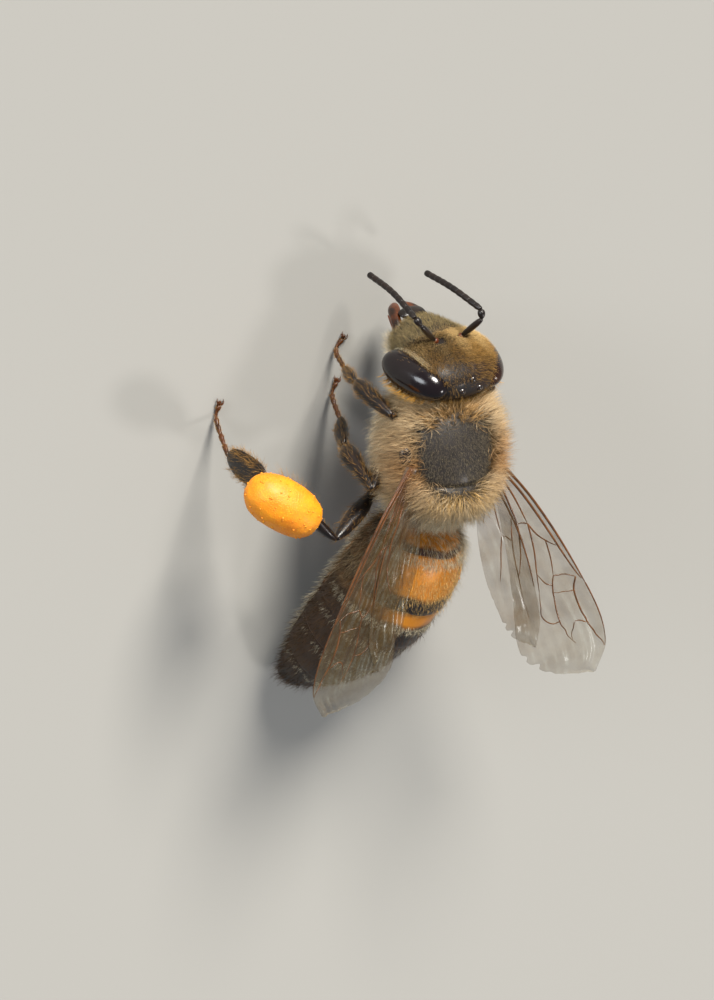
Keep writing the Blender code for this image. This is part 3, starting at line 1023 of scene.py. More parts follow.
    def build_mouth(self) -> None:
        """Lip, jaws and folded tongue."""
        axes = [way * half for way, half in zip(HEAD_TURN.T, self.lip_half)]
        lip = ovoid(on_head(self.lip_at), axes, 2.6)
        settle("lip", lip.sculpt(24, 32), self.finishes.dark, "amber_shell", "head")
        for side in Side:
            s = side.value
            path = [on_head((s * x, y, z)) for x, y, z in self.jaw_knots]
            face = HEAD_TURN @ np.array([s * 0.5, -1.0, 0.0])
            jaw = rod(path, self.jaw_sizes, face, 3.5).sculpt(36, 24)
            node = f"mandible_{side.word}"
            settle(f"jaw_{side.word}", jaw, self.finishes.jaw, "amber_shell", node)
        blades = []
        for x, wide in ((-0.13, 0.12), (0.13, 0.12), (0.0, 0.07)):
            path = [on_head((x * share, y, z)) for share, y, z in self.tongue_knots]
            sizes = [(0, wide, 0.08), (0.4, wide * 1.15, 0.07), (1, 0.03, 0.03)]
            face = HEAD_TURN @ np.array([x * 4, -1.0, 0.0])
            blades.append(rod(path, sizes, face, 3).sculpt(36, 18))
        settle("tongue", gathered(blades), self.finishes.amber, "amber_shell", "proboscis")

    def feeler_path(self, side: Side) -> list[Array]:
        """Root, elbow, end of the pedicel, middle and tip of a feeler."""
        x, y, z = self.socket_at
        path = [on_head((x * side.value, y, z))]
        lengths = (self.scape, self.pedicel, self.flagellum / 2, self.flagellum / 2)
        for aim, length in zip(self.feeler_aims[side], lengths):
            path.append(path[-1] + heading(*aim) * length)
        return path

    def build_feeler(self, side: Side) -> None:
        """A feeler: socket bulb, scape, pedicel and ten ringlets."""
        root, elbow, start, middle, tip = self.feeler_path(side)
        dark, node, whip = self.finishes.dark, f"scape_{side.word}", f"flagellum_{side.word}"
        face = heading(0, 0)
        axis = unit(elbow - root)
        bulb = ovoid(root + axis * 0.24, [HEAD_TURN[:, i] * 0.11 for i in (0, 2, 1)]).sculpt(16, 24)
        settle(f"socket_{side.word}", bulb, self.finishes.joint, "amber_shell", node)
        scape = rod(
            [root, root + axis * self.scape * 0.5, elbow],
            [
                (0, 0.06, 0.06),
                (0.2, 0.06, 0.06),
                (0.4, 0.085, 0.085),
                (0.8, 0.105, 0.1),
                (1, 0.09, 0.09),
            ],
            face,
        )
        settle(f"{node}_rod", scape.sculpt(40, 24), dark, "dark_shell", node)
        sizes = [(0, 0.07, 0.07), (0.5, 0.115, 0.115), (1, 0.11, 0.11)]
        rings = [rod([elbow, start], sizes, face, 3).sculpt(14, 20)]
        line = curve([(0.0, *start), (0.5, *middle), (1.0, *tip)])
        for n in range(self.ringlets):
            ends = line(np.array([n - 0.04, n + 0.5, n + 1.04]) / self.ringlets)
            thick = 0.07 if n == 0 else 0.09
            sizes = [(0, thick, thick), (0.9, 0.096, 0.096), (1, 0.091, 0.091)]
            rings.append(rod(list(ends), sizes, face, 12).sculpt(16, 24))
        settle(f"{whip}_rings", gathered(rings), dark, "dark_shell", whip)

    def locks(self) -> list[tuple[Form, Lock]]:
        """The fur of the face, cheeks and crown, and the fringe round the eyes."""
        local = self.local

        def face(points: Array) -> Array:
            x, y, z = local(points).T
            high = 1 - 0.8 * smooth(1.0, 1.35, z + 0.1 * np.abs(x))
            return (1 - smooth(-0.45, 0.1, y)) * smooth(-0.45, -0.05, z) * high * clear(points)

        def clear(points: Array) -> Array:
            x, _, z = local(points).T
            socket = np.hypot(np.abs(x) - self.socket_at[0] - 0.06, z - self.socket_at[2] - 0.06)
            return smooth(1.0, 1.05, self.nearest_eye(points)) * smooth(0.12, 0.24, socket)

        def clypeus(points: Array) -> Array:
            _, y, z = local(points).T
            return (y < 0) * smooth(-1.7, -1.5, z) * (1 - smooth(-0.35, -0.1, z)) * clear(points)

        def crown(points: Array) -> Array:
            x, y, z = local(points).T
            behind = 0.2 + 0.8 * smooth(0.4, 0.6, y)
            away = smooth(0.25, 0.6, np.hypot(x, y + 0.05))
            return smooth(0.9, 1.3, z) * away * behind * clear(points)

        def cheek(points: Array) -> Array:
            _, y, z = local(points).T
            return (y > -0.1) * (1 - smooth(0.4, 1.3, z)) * clear(points)

        def orbit(points: Array) -> Array:
            _, y, z = local(points).T
            near = self.nearest_eye(points)
            low = 1 - smooth(0.6, 1.0, z)
            return (y < 0) * smooth(1.0, 1.03, near) * (1 - smooth(1.1, 1.14, near)) * low

        def behind_eye(points: Array) -> Array:
            x, y, z = local(points).T
            near = self.nearest_eye(points)
            band = smooth(1.0, 1.03, near) * (1 - smooth(1.12, 1.2, near))
            return (y > 0.1) * band * (np.abs(x) > 0.9) * (z < 1.2)

        def lashes(points: Array) -> Array:
            _, y, _ = local(points).T
            return smooth(0.3, 0.5, np.abs(y))

        def rim(points: Array) -> Array:
            x, y, z = local(points).T
            band = smooth(0.34, 0.5, y) * (1 - smooth(0.58, 0.64, y))
            return band * smooth(1.0, 1.2, np.abs(x) - 0.2 * z)

        def out(x: float, y: float, z: float) -> Callable[[Array], Array]:
            way = HEAD_TURN @ np.array([0.0, y, z])
            side = HEAD_TURN[:, 0] * x
            return lambda points: way + np.tanh(local(points)[:, :1] / 0.4) * side

        def warm(points: Array) -> Array:
            x, _, z = local(points).T
            high = smooth(0.1, 1.0, z + 0.2 * np.sin(9 * x))
            return mixed(srgb(196, 166, 112), srgb(158, 122, 66), high)

        def pale(points: Array) -> Array:
            _, _, z = local(points).T
            return mixed(CREAM, TAN, smooth(-0.4, 0.9, z))

        up, down, crest = out(0.5, -0.2, 0.6), out(0.15, -0.1, -1.0), out(0.2, 0.4, 0.3)
        inner, jowl, temple = out(0.1, 0.0, 0.9), out(0.5, 0.3, -0.8), out(0.8, 0.3, 0.2)
        bristle, olive, light = plain(srgb(240, 178, 78)), plain(OLIVE), plain(PALE)
        on_skull = (
            Lock(11500, (0.1, 0.21), 0.0066, face, up, warm, lift=0.6, stray=0.18),
            Lock(4300, (0.08, 0.2), 0.007, clypeus, down, olive, lift=0.45),
            Lock(500, (0.12, 0.34), 0.008, crown, crest, warm, lift=0.8),
            Lock(1800, (0.05, 0.09), 0.010, orbit, inner, light, lift=0.25, stray=0.1),
            Lock(4000, (0.25, 0.5), 0.010, cheek, jowl, pale, lift=0.45, clump=0.15),
            Lock(260, (0.12, 0.26), 0.015, behind_eye, temple, bristle, lift=0.85, stray=0.12),
        )
        lash_comb, rim_comb = out(0.3, 0.1, -0.2), out(1.0, 0.4, -0.1)
        on_eye = (
            Lock(160, (0.05, 0.1), 0.007, lashes, lash_comb, plain(GOLD), lift=0.9),
            Lock(170, (0.2, 0.36), 0.016, rim, rim_comb, bristle, lift=0.75, stray=0.15),
        )
        grown = [(self.skull, lock) for lock in on_skull]
        return grown + [(form, lock) for form in self.eyes.values() for lock in on_eye]


@dataclass
class Thorax:
    """The thorax with its neck, scutellum and wing scales, in its own frame.

    width, length and height are the bald body's half-sizes.
    """

    finishes: Finishes
    width: float = 1.7
    length: float = 2.05
    height: float = 1.65
    tegula_at: Place = (1.72, -0.3, 0.95)

    def __post_init__(self) -> None:
        """Works out the bald body."""
        self.body = Form(self._body)

    @staticmethod
    def local(points: Array) -> Array:
        """Places in the thorax's own frame."""
        return (points - THORAX_AT) @ THORAX_TURN

    def _body(self, v: Array, phi: Array) -> Array:
        """The bald thorax from its neck to its waist."""
        s, end = rounded(v, 2.3)
        x = self.width * end * power(np.cos(phi), 2.2)
        z = self.height * end * power(np.sin(phi), 2.2)
        y = self.length * s
        up = smooth(0.3, 1.0, z / self.height)
        ridge = np.exp(-(((y - 1.18) / 0.27) ** 2) - x**4)
        groove = np.exp(-(((y - 0.78 + 0.12 * x * x) / 0.07) ** 2) - (x / 1.15) ** 4)
        seam = (
            np.exp(-((np.abs(x) - 1.22) ** 2) / 0.004) * smooth(0.9, 0.3, y) * smooth(-1.6, -1.0, y)
        )
        z = z + up * (0.26 * ridge - 0.1 * groove - 0.05 * seam)
        return on_thorax(np.stack([x, y, z], -1))

    def build(self) -> None:
        """Makes every piece of the thorax."""
        skin, dark = self.finishes.coat_skin, self.finishes.dark
        body = settle("thorax_skin", self.body.sculpt(128, 160), skin, "coat", "thorax")
        tint(body, self.skin_colour)
        neck = rod(
            [on_thorax((0.0, -1.7, -0.05)), on_head((0.0, 0.5, 0.2))],
            [(0, 0.5, 0.5), (0.5, 0.36, 0.36), (1, 0.45, 0.45)],
            np.array([0.0, 0.0, 1.0]),
        )
        settle("neck", neck.sculpt(20, 32), dark, "dark_shell", "thorax")
        for side in Side:
            x, y, z = self.tegula_at
            axes = [
                THORAX_TURN @ np.array([side.value * 0.16, 0.0, -0.1]),
                THORAX_TURN @ np.array([side.value * 0.05, 0.0, 0.08]),
                THORAX_TURN @ np.array([0.0, 0.26, 0.02]),
            ]
            scale = ovoid(on_thorax((x * side.value, y, z)), axes, 2.2).sculpt(24, 36)
            node = f"tegula_{side.word}"
            settle(f"{node}_scale", scale, dark, "dark_shell", node)

    def skin_colour(self, points: Array) -> Array:
        """Charcoal above and black below."""
        return mixed(CHARCOAL, BLACK, smooth(0.2, -0.8, self.local(points)[:, 2]))

    def locks(self) -> list[tuple[Form, Lock]]:
        """The fur of the back, the sides, the collar, the rear and the breast."""
        local = self.local

        def disc(points: Array) -> Array:
            x, y, z = local(points).T
            off = np.hypot((x - 0.1) / 1.32, (y + 0.26) / 1.38) + (z < 0.5) * 2
            return 1 - smooth(0.8, 1.1, off)

        def around(points: Array) -> Array:
            _, y, z = local(points).T
            return (1 - disc(points)) * smooth(-0.9, -0.2, z) * (1 - smooth(0.9, 1.3, y) * 0.6)

        def breast(points: Array) -> Array:
            _, _, z = local(points).T
            return 1 - smooth(-0.8, -0.2, z)

        def rear(points: Array) -> Array:
            _, y, z = local(points).T
            return smooth(0.75, 1.1, y) * smooth(-0.9, -0.3, z)

        def collar(points: Array) -> Array:
            _, y, z = local(points).T
            return (1 - smooth(-1.5, -1.0, y)) * smooth(-0.9, -0.3, z)

        def spread(points: Array) -> Array:
            x, y, z = local(points).T
            way = np.stack([x * 1.4, 0.15 + y * 0.45, -0.15 + 0 * z], -1)
            return way @ THORAX_TURN.T

        def back(points: Array) -> Array:
            x, y, z = local(points).T
            return np.stack([x * 0.35, 1.0 + 0 * y, 0.15 + 0 * z], -1) @ THORAX_TURN.T

        def side_colour(points: Array) -> Array:
            x, y, z = local(points).T
            fur = mixed(TAN, CREAM, smooth(0.6, -0.8, z) * 0.8 + 0.15 * np.sin(7 * y + 3 * x))
            shoulder = np.exp(-(((np.abs(x) - 1.25) / 0.45) ** 2) - ((y - 0.1) / 0.7) ** 2)
            return mixed(fur, srgb(170, 118, 58), shoulder * smooth(-0.2, 0.6, z) * 0.75)

        def rear_colour(points: Array) -> Array:
            _, y, _ = local(points).T
            return mixed(GOLD, PALE, smooth(0.9, 1.7, y))

        main = {"lift": 0.55, "stray": 0.3, "clump": 0.15}
        locks = (
            Lock(4200, (0.05, 0.1), 0.007, disc, back, plain(SILVER), lift=0.4),
            Lock(17500, (0.4, 0.88), 0.0135, around, spread, side_colour, **main),
            Lock(4600, (0.35, 0.72), 0.012, rear, back, rear_colour, lift=0.5, clump=0.2),
            Lock(6500, (0.45, 0.8), 0.008, around, spread, side_colour, lift=0.7, stray=0.35),
            Lock(5600, (0.3, 0.6), 0.012, collar, spread, plain(GINGER), lift=0.65, clump=0.16),
            Lock(5200, (0.35, 0.6), 0.014, breast, back, plain(CREAM), lift=0.45, clump=0.2),
        )
        return [(self.body, lock) for lock in locks]


@dataclass
class Abdomen:
    """The abdomen: overlapping plates along a bent line.

    azimuths and slopes are the line's way back at its start and its end, width and
    height are half-sizes, ends are the places along the line where plates end, and batch
    is how many points are measured at a time.
    """

    finishes: Finishes
    waist_at: Place = (-0.28, 2.14, -0.99)
    length: float = 7.9
    azimuths: Aim = (169.0, 148.0)
    slopes: Aim = (-3.0, -38.0)
    width: float = 1.82
    height: float = 1.56
    ends: tuple[float, ...] = (0.12, 0.345, 0.51, 0.66, 0.82)
    batch: int = 20000

    def __post_init__(self) -> None:
        """Works out the middle line."""
        steps = np.linspace(0.0, 1.0, 201)
        middle = (steps[1:] + steps[:-1]) / 2
        ways = np.array([self.aim(t)[0] for t in middle]) * self.length / 200
        places = on_thorax(self.waist_at) + np.concatenate([[np.zeros(3)], np.cumsum(ways, axis=0)])
        ups = np.array([self.aim(t)[1] for t in steps])
        self.line = curve(np.column_stack([steps, places, ups]))
        self.body = Form(self._body)

    def aim(self, t: float) -> tuple[Array, Array]:
        """The abdomen's way back and its own up at t."""
        azimuth = self.azimuths[0] + (self.azimuths[1] - self.azimuths[0]) * t
        slope = self.slopes[0] + (self.slopes[1] - self.slopes[0]) * t
        return heading(azimuth, slope), heading(azimuth, slope + 90)

    def ahead(self, t: Array) -> Array:
        """A short step along the middle line at t."""
        return self.line(np.clip(t + 0.01, 0, 1))[:, :3] - self.line(np.clip(t - 0.01, 0, 1))[:, :3]

    def _body(self, v: Array, phi: Array) -> Array:
        """The plates from the waist to the tip."""
        widths = curve(
            [
                (0.0, 0.42), (0.04, 0.66), (0.12, 0.88), (0.25, 0.98), (0.42, 1.0),
                (0.6, 0.92), (0.76, 0.75), (0.9, 0.49), (0.97, 0.33), (1.0, 0.26),
            ]
        )
        s, end = rounded(v, 5.0)
        t = (s + 1) / 2
        edges = (0.0, *self.ends, 1.0)
        step = np.zeros_like(t)
        for low, high in zip(edges, edges[1:]):
            inside = (t >= low) & (t < high)
            share = np.clip((t - low) / (high - low), 0, 1)
            step = np.where(inside, 0.045 * share**0.7 - 0.01 * (share > 0.97), step)
        radius = (widths(t)[:, 0] + step - 0.02) * end
        pleat = np.exp(-(((np.sin(phi) + 0.45) / 0.05) ** 2))
        place, up = self.line(t)[:, :3], self.line(t)[:, 3:]
        across = unit(np.cross(self.ahead(t), up))
        radius = radius * (1 - 0.05 * pleat)
        wide = self.width * radius * power(np.cos(phi), 2.1)
        tall = self.height * radius * power(np.sin(phi), 2.1)
        tall = np.where(tall < 0, tall * 0.92, tall)
        return place + across * wide[:, None] + up * tall[:, None]

    def whereabouts(self, points: Array) -> tuple[Array, Array, Array]:
        """How far along points are, and their places across and up from the middle line."""
        steps = np.linspace(0, 1, 121)
        line = self.line(steps)
        near = np.empty(len(points), int)
        for start in range(0, len(points), self.batch):
            part = points[start : start + self.batch]
            far = ((part[:, None] - line[None, :, :3]) ** 2).sum(-1)
            near[start : start + self.batch] = far.argmin(1)
        place, up = line[near, :3], line[near, 3:]
        way = unit(self.ahead(steps[near]))
        across = np.cross(way, up)
        off = points - place
        t = steps[near] + (off * way).sum(-1) / self.length
        return t, (off * across).sum(-1), (off * up).sum(-1)

    def build(self) -> None:
        """Makes the plates and the waist."""
        marks = {0.0, 1.0, *np.linspace(0, 1, 110)}
        for end in self.ends:
            near = (end - 0.006, end - 0.001, end, end + 0.006)
            marks |= {math.acos(1 - 2 * t) / math.pi for t in near}
        levels = sorted(marks)
        body = settle(
            "abdomen_plates",
            self.body.sculpt(len(levels) - 1, 160, levels),
            self.finishes.plates,
            "banded_shell",
            *(f"abdomen_{n}" for n in range(1, 7)),
        )
        tint(body, self.colour)
        waist = rod(
            [on_thorax((-0.05, 1.7, -0.85)), self.line(np.array([0.03]))[0, :3]],
            [(0, 0.36, 0.36), (1, 0.32, 0.32)],
            np.array([0.0, 0.0, 1.0]),
        )
        settle("waist", waist.sculpt(20, 32), self.finishes.dark, "banded_shell", "abdomen_1")

    def colour(self, points: Array) -> Array:
        """Orange bands in front, black behind, paler beneath, and painted shade that darkens the
        left flank.
        """
        t, across, up = self.whereabouts(points)
        wave = 0.004 * np.sin(across * 5) + 0.012 * (across / self.width) ** 2
        t = t + wave
        bands = [
            (0.0, ORANGE), (0.088, ORANGE), (0.096, UMBER), (0.118, UMBER), (0.122, ORANGE),
            (0.27, ORANGE), (0.287, BLACK), (0.343, BLACK), (0.347, ORANGE), (0.395, ORANGE),
            (0.412, BLACK), (0.505, BLACK), (0.512, UMBER), (0.54, BLACK), (0.655, BLACK),
            (0.662, UMBER), (0.69, BLACK), (1.0, BLACK),
        ]
        places = [place for place, _ in bands]
        channels = zip(*(colour for _, colour in bands))
        top = np.stack([np.interp(t, places, channel) for channel in channels], -1)
        # Painted shade: the bee's left flank is darkened as if turned away from the light.
        painted_shade_flank = smooth(0.75, 1.25, across + 0.3 * smooth(0.2, 0.5, t))
        top = mixed(top, srgb(50, 33, 18), 0.85 * painted_shade_flank)
        belly = mixed(srgb(158, 104, 46), srgb(52, 30, 18), smooth(0.35, 0.6, t))
        return mixed(top, belly, smooth(-0.35, -0.75, up))

    def locks(self) -> list[tuple[Form, Lock]]:
        """Short hair over the plates, pale rows at their fronts and a fringe at the sides."""
        where = self.whereabouts

        def row(points: Array) -> Array:
            t, _, up = where(points)
            near = np.zeros(len(t))
            for end in (0.12, 0.40, 0.515, 0.665, 0.825):
                past = t - end
                near = np.maximum(near, smooth(0.0, 0.006, past) * (1 - smooth(0.02, 0.04, past)))
            return near * smooth(-0.3, 0.1, up) * (1 - 0.8 * smooth(0.42, 0.5, t))

        def over(points: Array) -> Array:
            t, _, up = where(points)
            bald = smooth(0.34, 0.35, t) * (1 - smooth(0.39, 0.4, t))
            front = smooth(0.13, 0.2, t) * (1 - smooth(0.27, 0.3, t))
            return (1 - 0.95 * bald) * smooth(-0.4, 0.0, up) * (0.3 + 0.7 * front)

        def sides(points: Array) -> Array:
            t, _, up = where(points)
            level = smooth(0.9, 0.4, up) * smooth(-0.9, -0.4, up)
            return level * smooth(0.04, 0.1, t) * (1 - 0.7 * smooth(0.3, 0.5, t))

        def belly(points: Array) -> Array:
            _, _, up = where(points)
            return smooth(-0.3, -0.7, up)

        def along(points: Array) -> Array:
            return unit(self.ahead(where(points)[0]))

        def first(points: Array) -> Array:
            t, _, up = where(points)
            return smooth(0.01, 0.03, t) * (1 - smooth(0.1, 0.14, t)) * smooth(-0.4, 0.0, up)

        def over_colour(points: Array) -> Array:
            t, across, _ = where(points)
            # Painted shade darkens the hair on the bee's left flank; the browner hair towards the
            # tip is its own colour.
            gold = mixed(srgb(232, 190, 118), srgb(120, 90, 52), 0.8 * smooth(0.6, 1.1, across))
            return mixed(gold, srgb(104, 72, 38), smooth(0.28, 0.45, t))

        def side_colour(points: Array) -> Array:
            t, across, _ = where(points)
            # Painted shade darkens the fringe on the bee's left flank; the browner hair towards the
            # tip is its own colour.
            pale = mixed(CREAM, srgb(120, 94, 58), 0.8 * smooth(0.3, 0.9, across))
            return mixed(pale, srgb(78, 58, 36), smooth(0.22, 0.45, t))

        locks = (
            Lock(900, (0.2, 0.45), 0.009, first, along, plain(CREAM), lift=0.45),
            Lock(2600, (0.1, 0.2), 0.009, row, along, plain(PALE), lift=0.15),
            Lock(6400, (0.12, 0.25), 0.007, over, along, over_colour, lift=0.3),
            Lock(5600, (0.2, 0.45), 0.009, sides, along, side_colour, lift=0.5),
            Lock(2000, (0.25, 0.4), 0.012, belly, along, plain(CREAM), lift=0.4),
        )
        return [(self.body, lock) for lock in locks]


@dataclass
class Blade:
    """One wing: its outline along the length, its folds and its veins.

    edges holds (place along, front edge, rear edge) from a line between hinge and tip,
    and veins hold places (along, share of the width from the front edge) with a width.
    """

    name: str
    side: Side
    hinge: Array
    aim: Place
    droop: float
    length: float
    edges: Outline
    veins: Veins
    fray: float
    full_length: float = 8.6
    thickness: float = 0.012

    def __post_init__(self) -> None:
        """Works out the wing's own axes and its outline."""
        azimuth, slope, twist = self.aim
        self.out = heading(azimuth, slope)
        lead = heading(azimuth - 90 * self.side.value, 0)
        up = np.cross(lead, self.out) * self.side.value
        twist = math.radians(twist)
        self.up = unit(up * math.cos(twist) - lead * math.sin(twist))
        self.lead = unit(np.cross(self.out, self.up) * self.side.value)
        self.outline = curve(self.edges)

    def at(self, t: Array, f: Array) -> Array:
        """Places on the wing, t along it and f from its front edge to its rear edge."""
        front, rear = self.outline(t).T
        tip = np.sqrt(np.clip(1 - (np.clip(t - 0.9, 0, 1) / 0.1) ** 2.2, 0, 1))
        middle = front * 0.5 + rear * 0.5
        front, rear = middle + (front - middle) * tip, middle + (rear - middle) * tip
        worn = smooth(0.55, 0.8, t) * self.fray
        nicks = np.sin(t * 37 + 1.3) * np.sin(t * 61) + 0.35 * np.sin(t * 127 + 0.5)
        rear = rear + worn * np.clip(nicks, 0, None) ** 1.3
        across = front + (rear - front) * f
        back = front - across
        fold = 0.05 * np.cos(back * 7.5) * np.exp(-back / 0.9)
        fold = fold + 0.014 * np.cos(back * 19 + 3 * t) * smooth(0.1, 0.3, t)
        ripple = 0.03 * np.sin(t * 19 + f * 6) * smooth(0.1, 0.5, f) + 0.05 * np.sin(t * 7 + 1) * f
        hang = self.droop * (self.length * t / self.full_length) ** 2
        lift = (fold + ripple) * smooth(0.0, 0.12, t) - hang
        return (
            self.hinge
            + self.out * (self.length * t)[:, None]
            + self.lead * across[:, None]
            + self.up * lift[:, None]
        )

    def membrane(self) -> bmesh.types.BMesh:
        """The sheet, with a little thickness."""
        rows, columns = 150, 44
        mesh = bmesh.new()
        bmesh.ops.create_grid(mesh, x_segments=rows, y_segments=columns, size=0.5)
        places = np.array([vert.co for vert in mesh.verts])
        t = 1 - (1 - (places[:, 0] + 0.5)) ** 1.5
        points = self.at(np.clip(t, 0, 0.9995), places[:, 1] + 0.5)
        for vert, point in zip(mesh.verts, points):
            vert.co = point
        bmesh.ops.recalc_face_normals(mesh, faces=mesh.faces)
        bmesh.ops.solidify(mesh, geom=mesh.faces[:], thickness=self.thickness)
        bmesh.ops.recalc_face_normals(mesh, faces=mesh.faces)
        return mesh

    def tubes(self) -> bmesh.types.BMesh:
        """The veins, as tapering rods."""
        rods = []
        for width, places in self.veins:
            knots = curve([(n, *place) for n, place in enumerate(places)])
            t, f = knots(np.linspace(0, len(places) - 1, 4 * len(places))).T
            path = self.at(np.clip(t, 0.005, 0.99), np.clip(f, 0.0, 1.0))
            taper = ((0, 1, 0.8), (0.6, 0.85, 0.7), (1, 0.45, 0.4))
            stations = [(place, width * wide, width * deep) for place, wide, deep in taper]
            rods.append(rod(list(path), stations, self.up, 8).sculpt(8 * len(places), 8))
        return gathered(rods)

    def build(self, finishes: Finishes) -> None:
        """Makes the membrane and the veins."""
        node = f"{self.name}_{self.side.word}"
        slot = "wing_membrane"
        sheet = settle(f"{node}_membrane", self.membrane(), finishes.membrane, slot, node)
        tint(sheet, self.colour)
        settle(f"{node}_veins", self.tubes(), finishes.vein, slot, node)

    def colour(self, points: Array) -> Array:
        """Redder at the root, olive in the middle and greyer towards the tip."""
        t = ((points - self.hinge) @ self.out) / self.full_length
        base = mixed(srgb(92, 50, 20), srgb(88, 68, 34), smooth(0.03, 0.3, t))
        return mixed(base, srgb(106, 94, 68), smooth(0.6, 0.95, t))


@dataclass(frozen=True)
class Stance:
    """How the wings of one side are held.

    hinge is on the thorax, aim is the azimuth, slope and twist, droop is how far the tip
    hangs, behind is from the forewing's hinge to the hindwing's, and fray is how worn the
    rear edges are.
    """

    hinge: Place
    aim: Place
    droop: float
    behind: float
    fray: float


@dataclass
class Wings:
    """The four wings."""

    finishes: Finishes
    stances: dict[Side, Stance] = field(
        default_factory=lambda: {
            Side.LEFT: Stance((1.61, -0.05, 1.18), (162.8, 2.6, 1.7), 0.55, 0.4, 0.03),
            Side.RIGHT: Stance((-1.35, 0.1, 0.75), (-147.4, 12.2, 10.0), 0.2, 0.6, 0.13),
        }
    )
    fore_length: float = 8.6
    hind_length: float = 6.2
    hind_drop: float = 0.12
    hind_wear: float = 0.8
    fore_edges: Outline = (
        (0.0, 0.2, -0.2), (0.2, 0.4, -0.6), (0.4, 0.5, -1.15), (0.6, 0.5, -1.8),
        (0.72, 0.46, -2.25), (0.79, 0.4, -2.35), (0.87, 0.25, -2.1), (0.94, 0.02, -1.6),
        (1.0, -0.4, -0.95),
    )
    hind_edges: Outline = (
        (0.0, 0.25, -0.3), (0.2, 0.1, -1.0), (0.45, -0.15, -1.6), (0.7, -0.55, -1.9),
        (0.88, -0.95, -1.95), (1.0, -1.4, -1.6),
    )
    fore_veins: Veins = (
        (0.044, ((0.01, 0.4), (0.06, 0.2), (0.18, 0.03), (0.4, 0.0), (0.6, 0.0), (0.66, 0.0))),
        (0.041, ((0.01, 0.55), (0.09, 0.32), (0.2, 0.17), (0.35, 0.11), (0.5, 0.075), (0.6, 0.04),
                 (0.64, 0.015))),
        (0.034, ((0.01, 0.6), (0.1, 0.5), (0.2, 0.42), (0.33, 0.4))),
        (0.027, ((0.33, 0.4), (0.39, 0.32), (0.44, 0.2), (0.47, 0.1))),
        (0.027, ((0.33, 0.4), (0.42, 0.46), (0.53, 0.56), (0.6, 0.6))),
        (0.024, ((0.33, 0.4), (0.315, 0.5), (0.31, 0.62))),
        (0.031, ((0.01, 0.68), (0.12, 0.66), (0.22, 0.64), (0.31, 0.62), (0.42, 0.72),
                 (0.5, 0.86))),
        (0.024, ((0.43, 0.22), (0.5, 0.27), (0.57, 0.34))),
        (0.024, ((0.57, 0.34), (0.59, 0.2), (0.62, 0.07))),
        (0.024, ((0.57, 0.34), (0.6, 0.4), (0.66, 0.43), (0.75, 0.45), (0.86, 0.43))),
        (0.020, ((0.6, 0.4), (0.58, 0.48), (0.53, 0.56))),
        (0.020, ((0.75, 0.45), (0.74, 0.54), (0.69, 0.63), (0.6, 0.6))),
        (0.031, ((0.62, 0.07), (0.67, 0.16), (0.76, 0.18), (0.86, 0.14), (0.93, 0.03))),
        (0.024, ((0.66, 0.0), (0.76, 0.0), (0.86, 0.0), (0.93, 0.02))),
        (0.020, ((0.67, 0.16), (0.65, 0.28), (0.63, 0.41))),
        (0.020, ((0.81, 0.18), (0.78, 0.3), (0.84, 0.43))),
    )
    hind_veins: Veins = (
        (0.031, ((0.01, 0.4), (0.12, 0.16), (0.3, 0.05), (0.5, 0.02), (0.7, 0.02))),
        (0.020, ((0.3, 0.08), (0.42, 0.22), (0.6, 0.3), (0.85, 0.36))),
        (0.024, ((0.01, 0.5), (0.15, 0.42), (0.36, 0.42))),
        (0.020, ((0.42, 0.22), (0.38, 0.32), (0.36, 0.42))),
        (0.020, ((0.36, 0.42), (0.46, 0.55), (0.58, 0.72))),
        (0.020, ((0.02, 0.6), (0.12, 0.66), (0.24, 0.82))),
    )

    def __post_init__(self) -> None:
        """Lays out the four blades."""
        self.blades: list[Blade] = []
        for side, stance in self.stances.items():
            hinge = on_thorax(stance.hinge)
            below = hinge + THORAX_TURN @ np.array([0.0, stance.behind, -self.hind_drop])
            held = (stance.aim, stance.droop)
            fore = (self.fore_length, self.fore_edges, self.fore_veins, stance.fray)
            worn = stance.fray * self.hind_wear
            rear = (self.hind_length, self.hind_edges, self.hind_veins, worn)
            self.blades.append(Blade("forewing", side, hinge, *held, *fore))
            self.blades.append(Blade("hindwing", side, below, *held, *rear))

    def build(self) -> None:
        """Makes the wings."""
        for blade in self.blades:
            blade.build(self.finishes)


@dataclass(frozen=True)
class LegSizes:
    """The root, lengths and half-widths of one pair of legs.

    root is where the left one starts on the thorax, lengths are those of the femur,
    tibia, basitarsus and tarsus, tibia and basitarsus hold half-widths at their start,
    middle and end, and flat is their depth as a share of the width.
    """

    root: Place
    lengths: tuple[float, float, float, float]
    femur: float
    tibia: Place
    basitarsus: Place
    flat: float


LEG_SIZES = {
    Pair.FORE: LegSizes(
        (0.5, -1.2, -1.35), (2.3, 1.85, 1.15, 0.85), 0.3, (0.16, 0.24, 0.22), (0.16, 0.2, 0.14), 1.0
    ),
    Pair.MID: LegSizes(
        (0.75, 0.0, -1.6), (2.7, 2.1, 1.4, 0.9), 0.3, (0.17, 0.26, 0.27), (0.22, 0.28, 0.2), 0.9
    ),
    Pair.HIND: LegSizes(
        (0.8, 1.0, -1.5), (3.2, 3.1, 2.1, 1.4), 0.27, (0.15, 0.3, 0.5), (0.42, 0.5, 0.34), 0.34
    ),
}
# For each leg: the azimuth and elevation of its first three parts, and the foot's azimuth.
LEG_AIMS = {
    (Pair.FORE, Side.LEFT): ((64, 48), (44, -77), (-117, -73), -35),
    (Pair.MID, Side.LEFT): ((101, 49), (-19, -78), (-69, -64), -18),
    (Pair.HIND, Side.LEFT): ((112, 28), (49, -11), (120, -84), -14),
    (Pair.FORE, Side.RIGHT): ((-48, 48), (-100, -76), (-143, -68), -100),
    (Pair.MID, Side.RIGHT): ((-125, 20), (-38, -69), (-10, -36), -20),
    (Pair.HIND, Side.RIGHT): ((-133, -20), (152, -15), (175, -5), 178),
}
FACE_RISE = {Side.LEFT: 27, Side.RIGHT: 40}
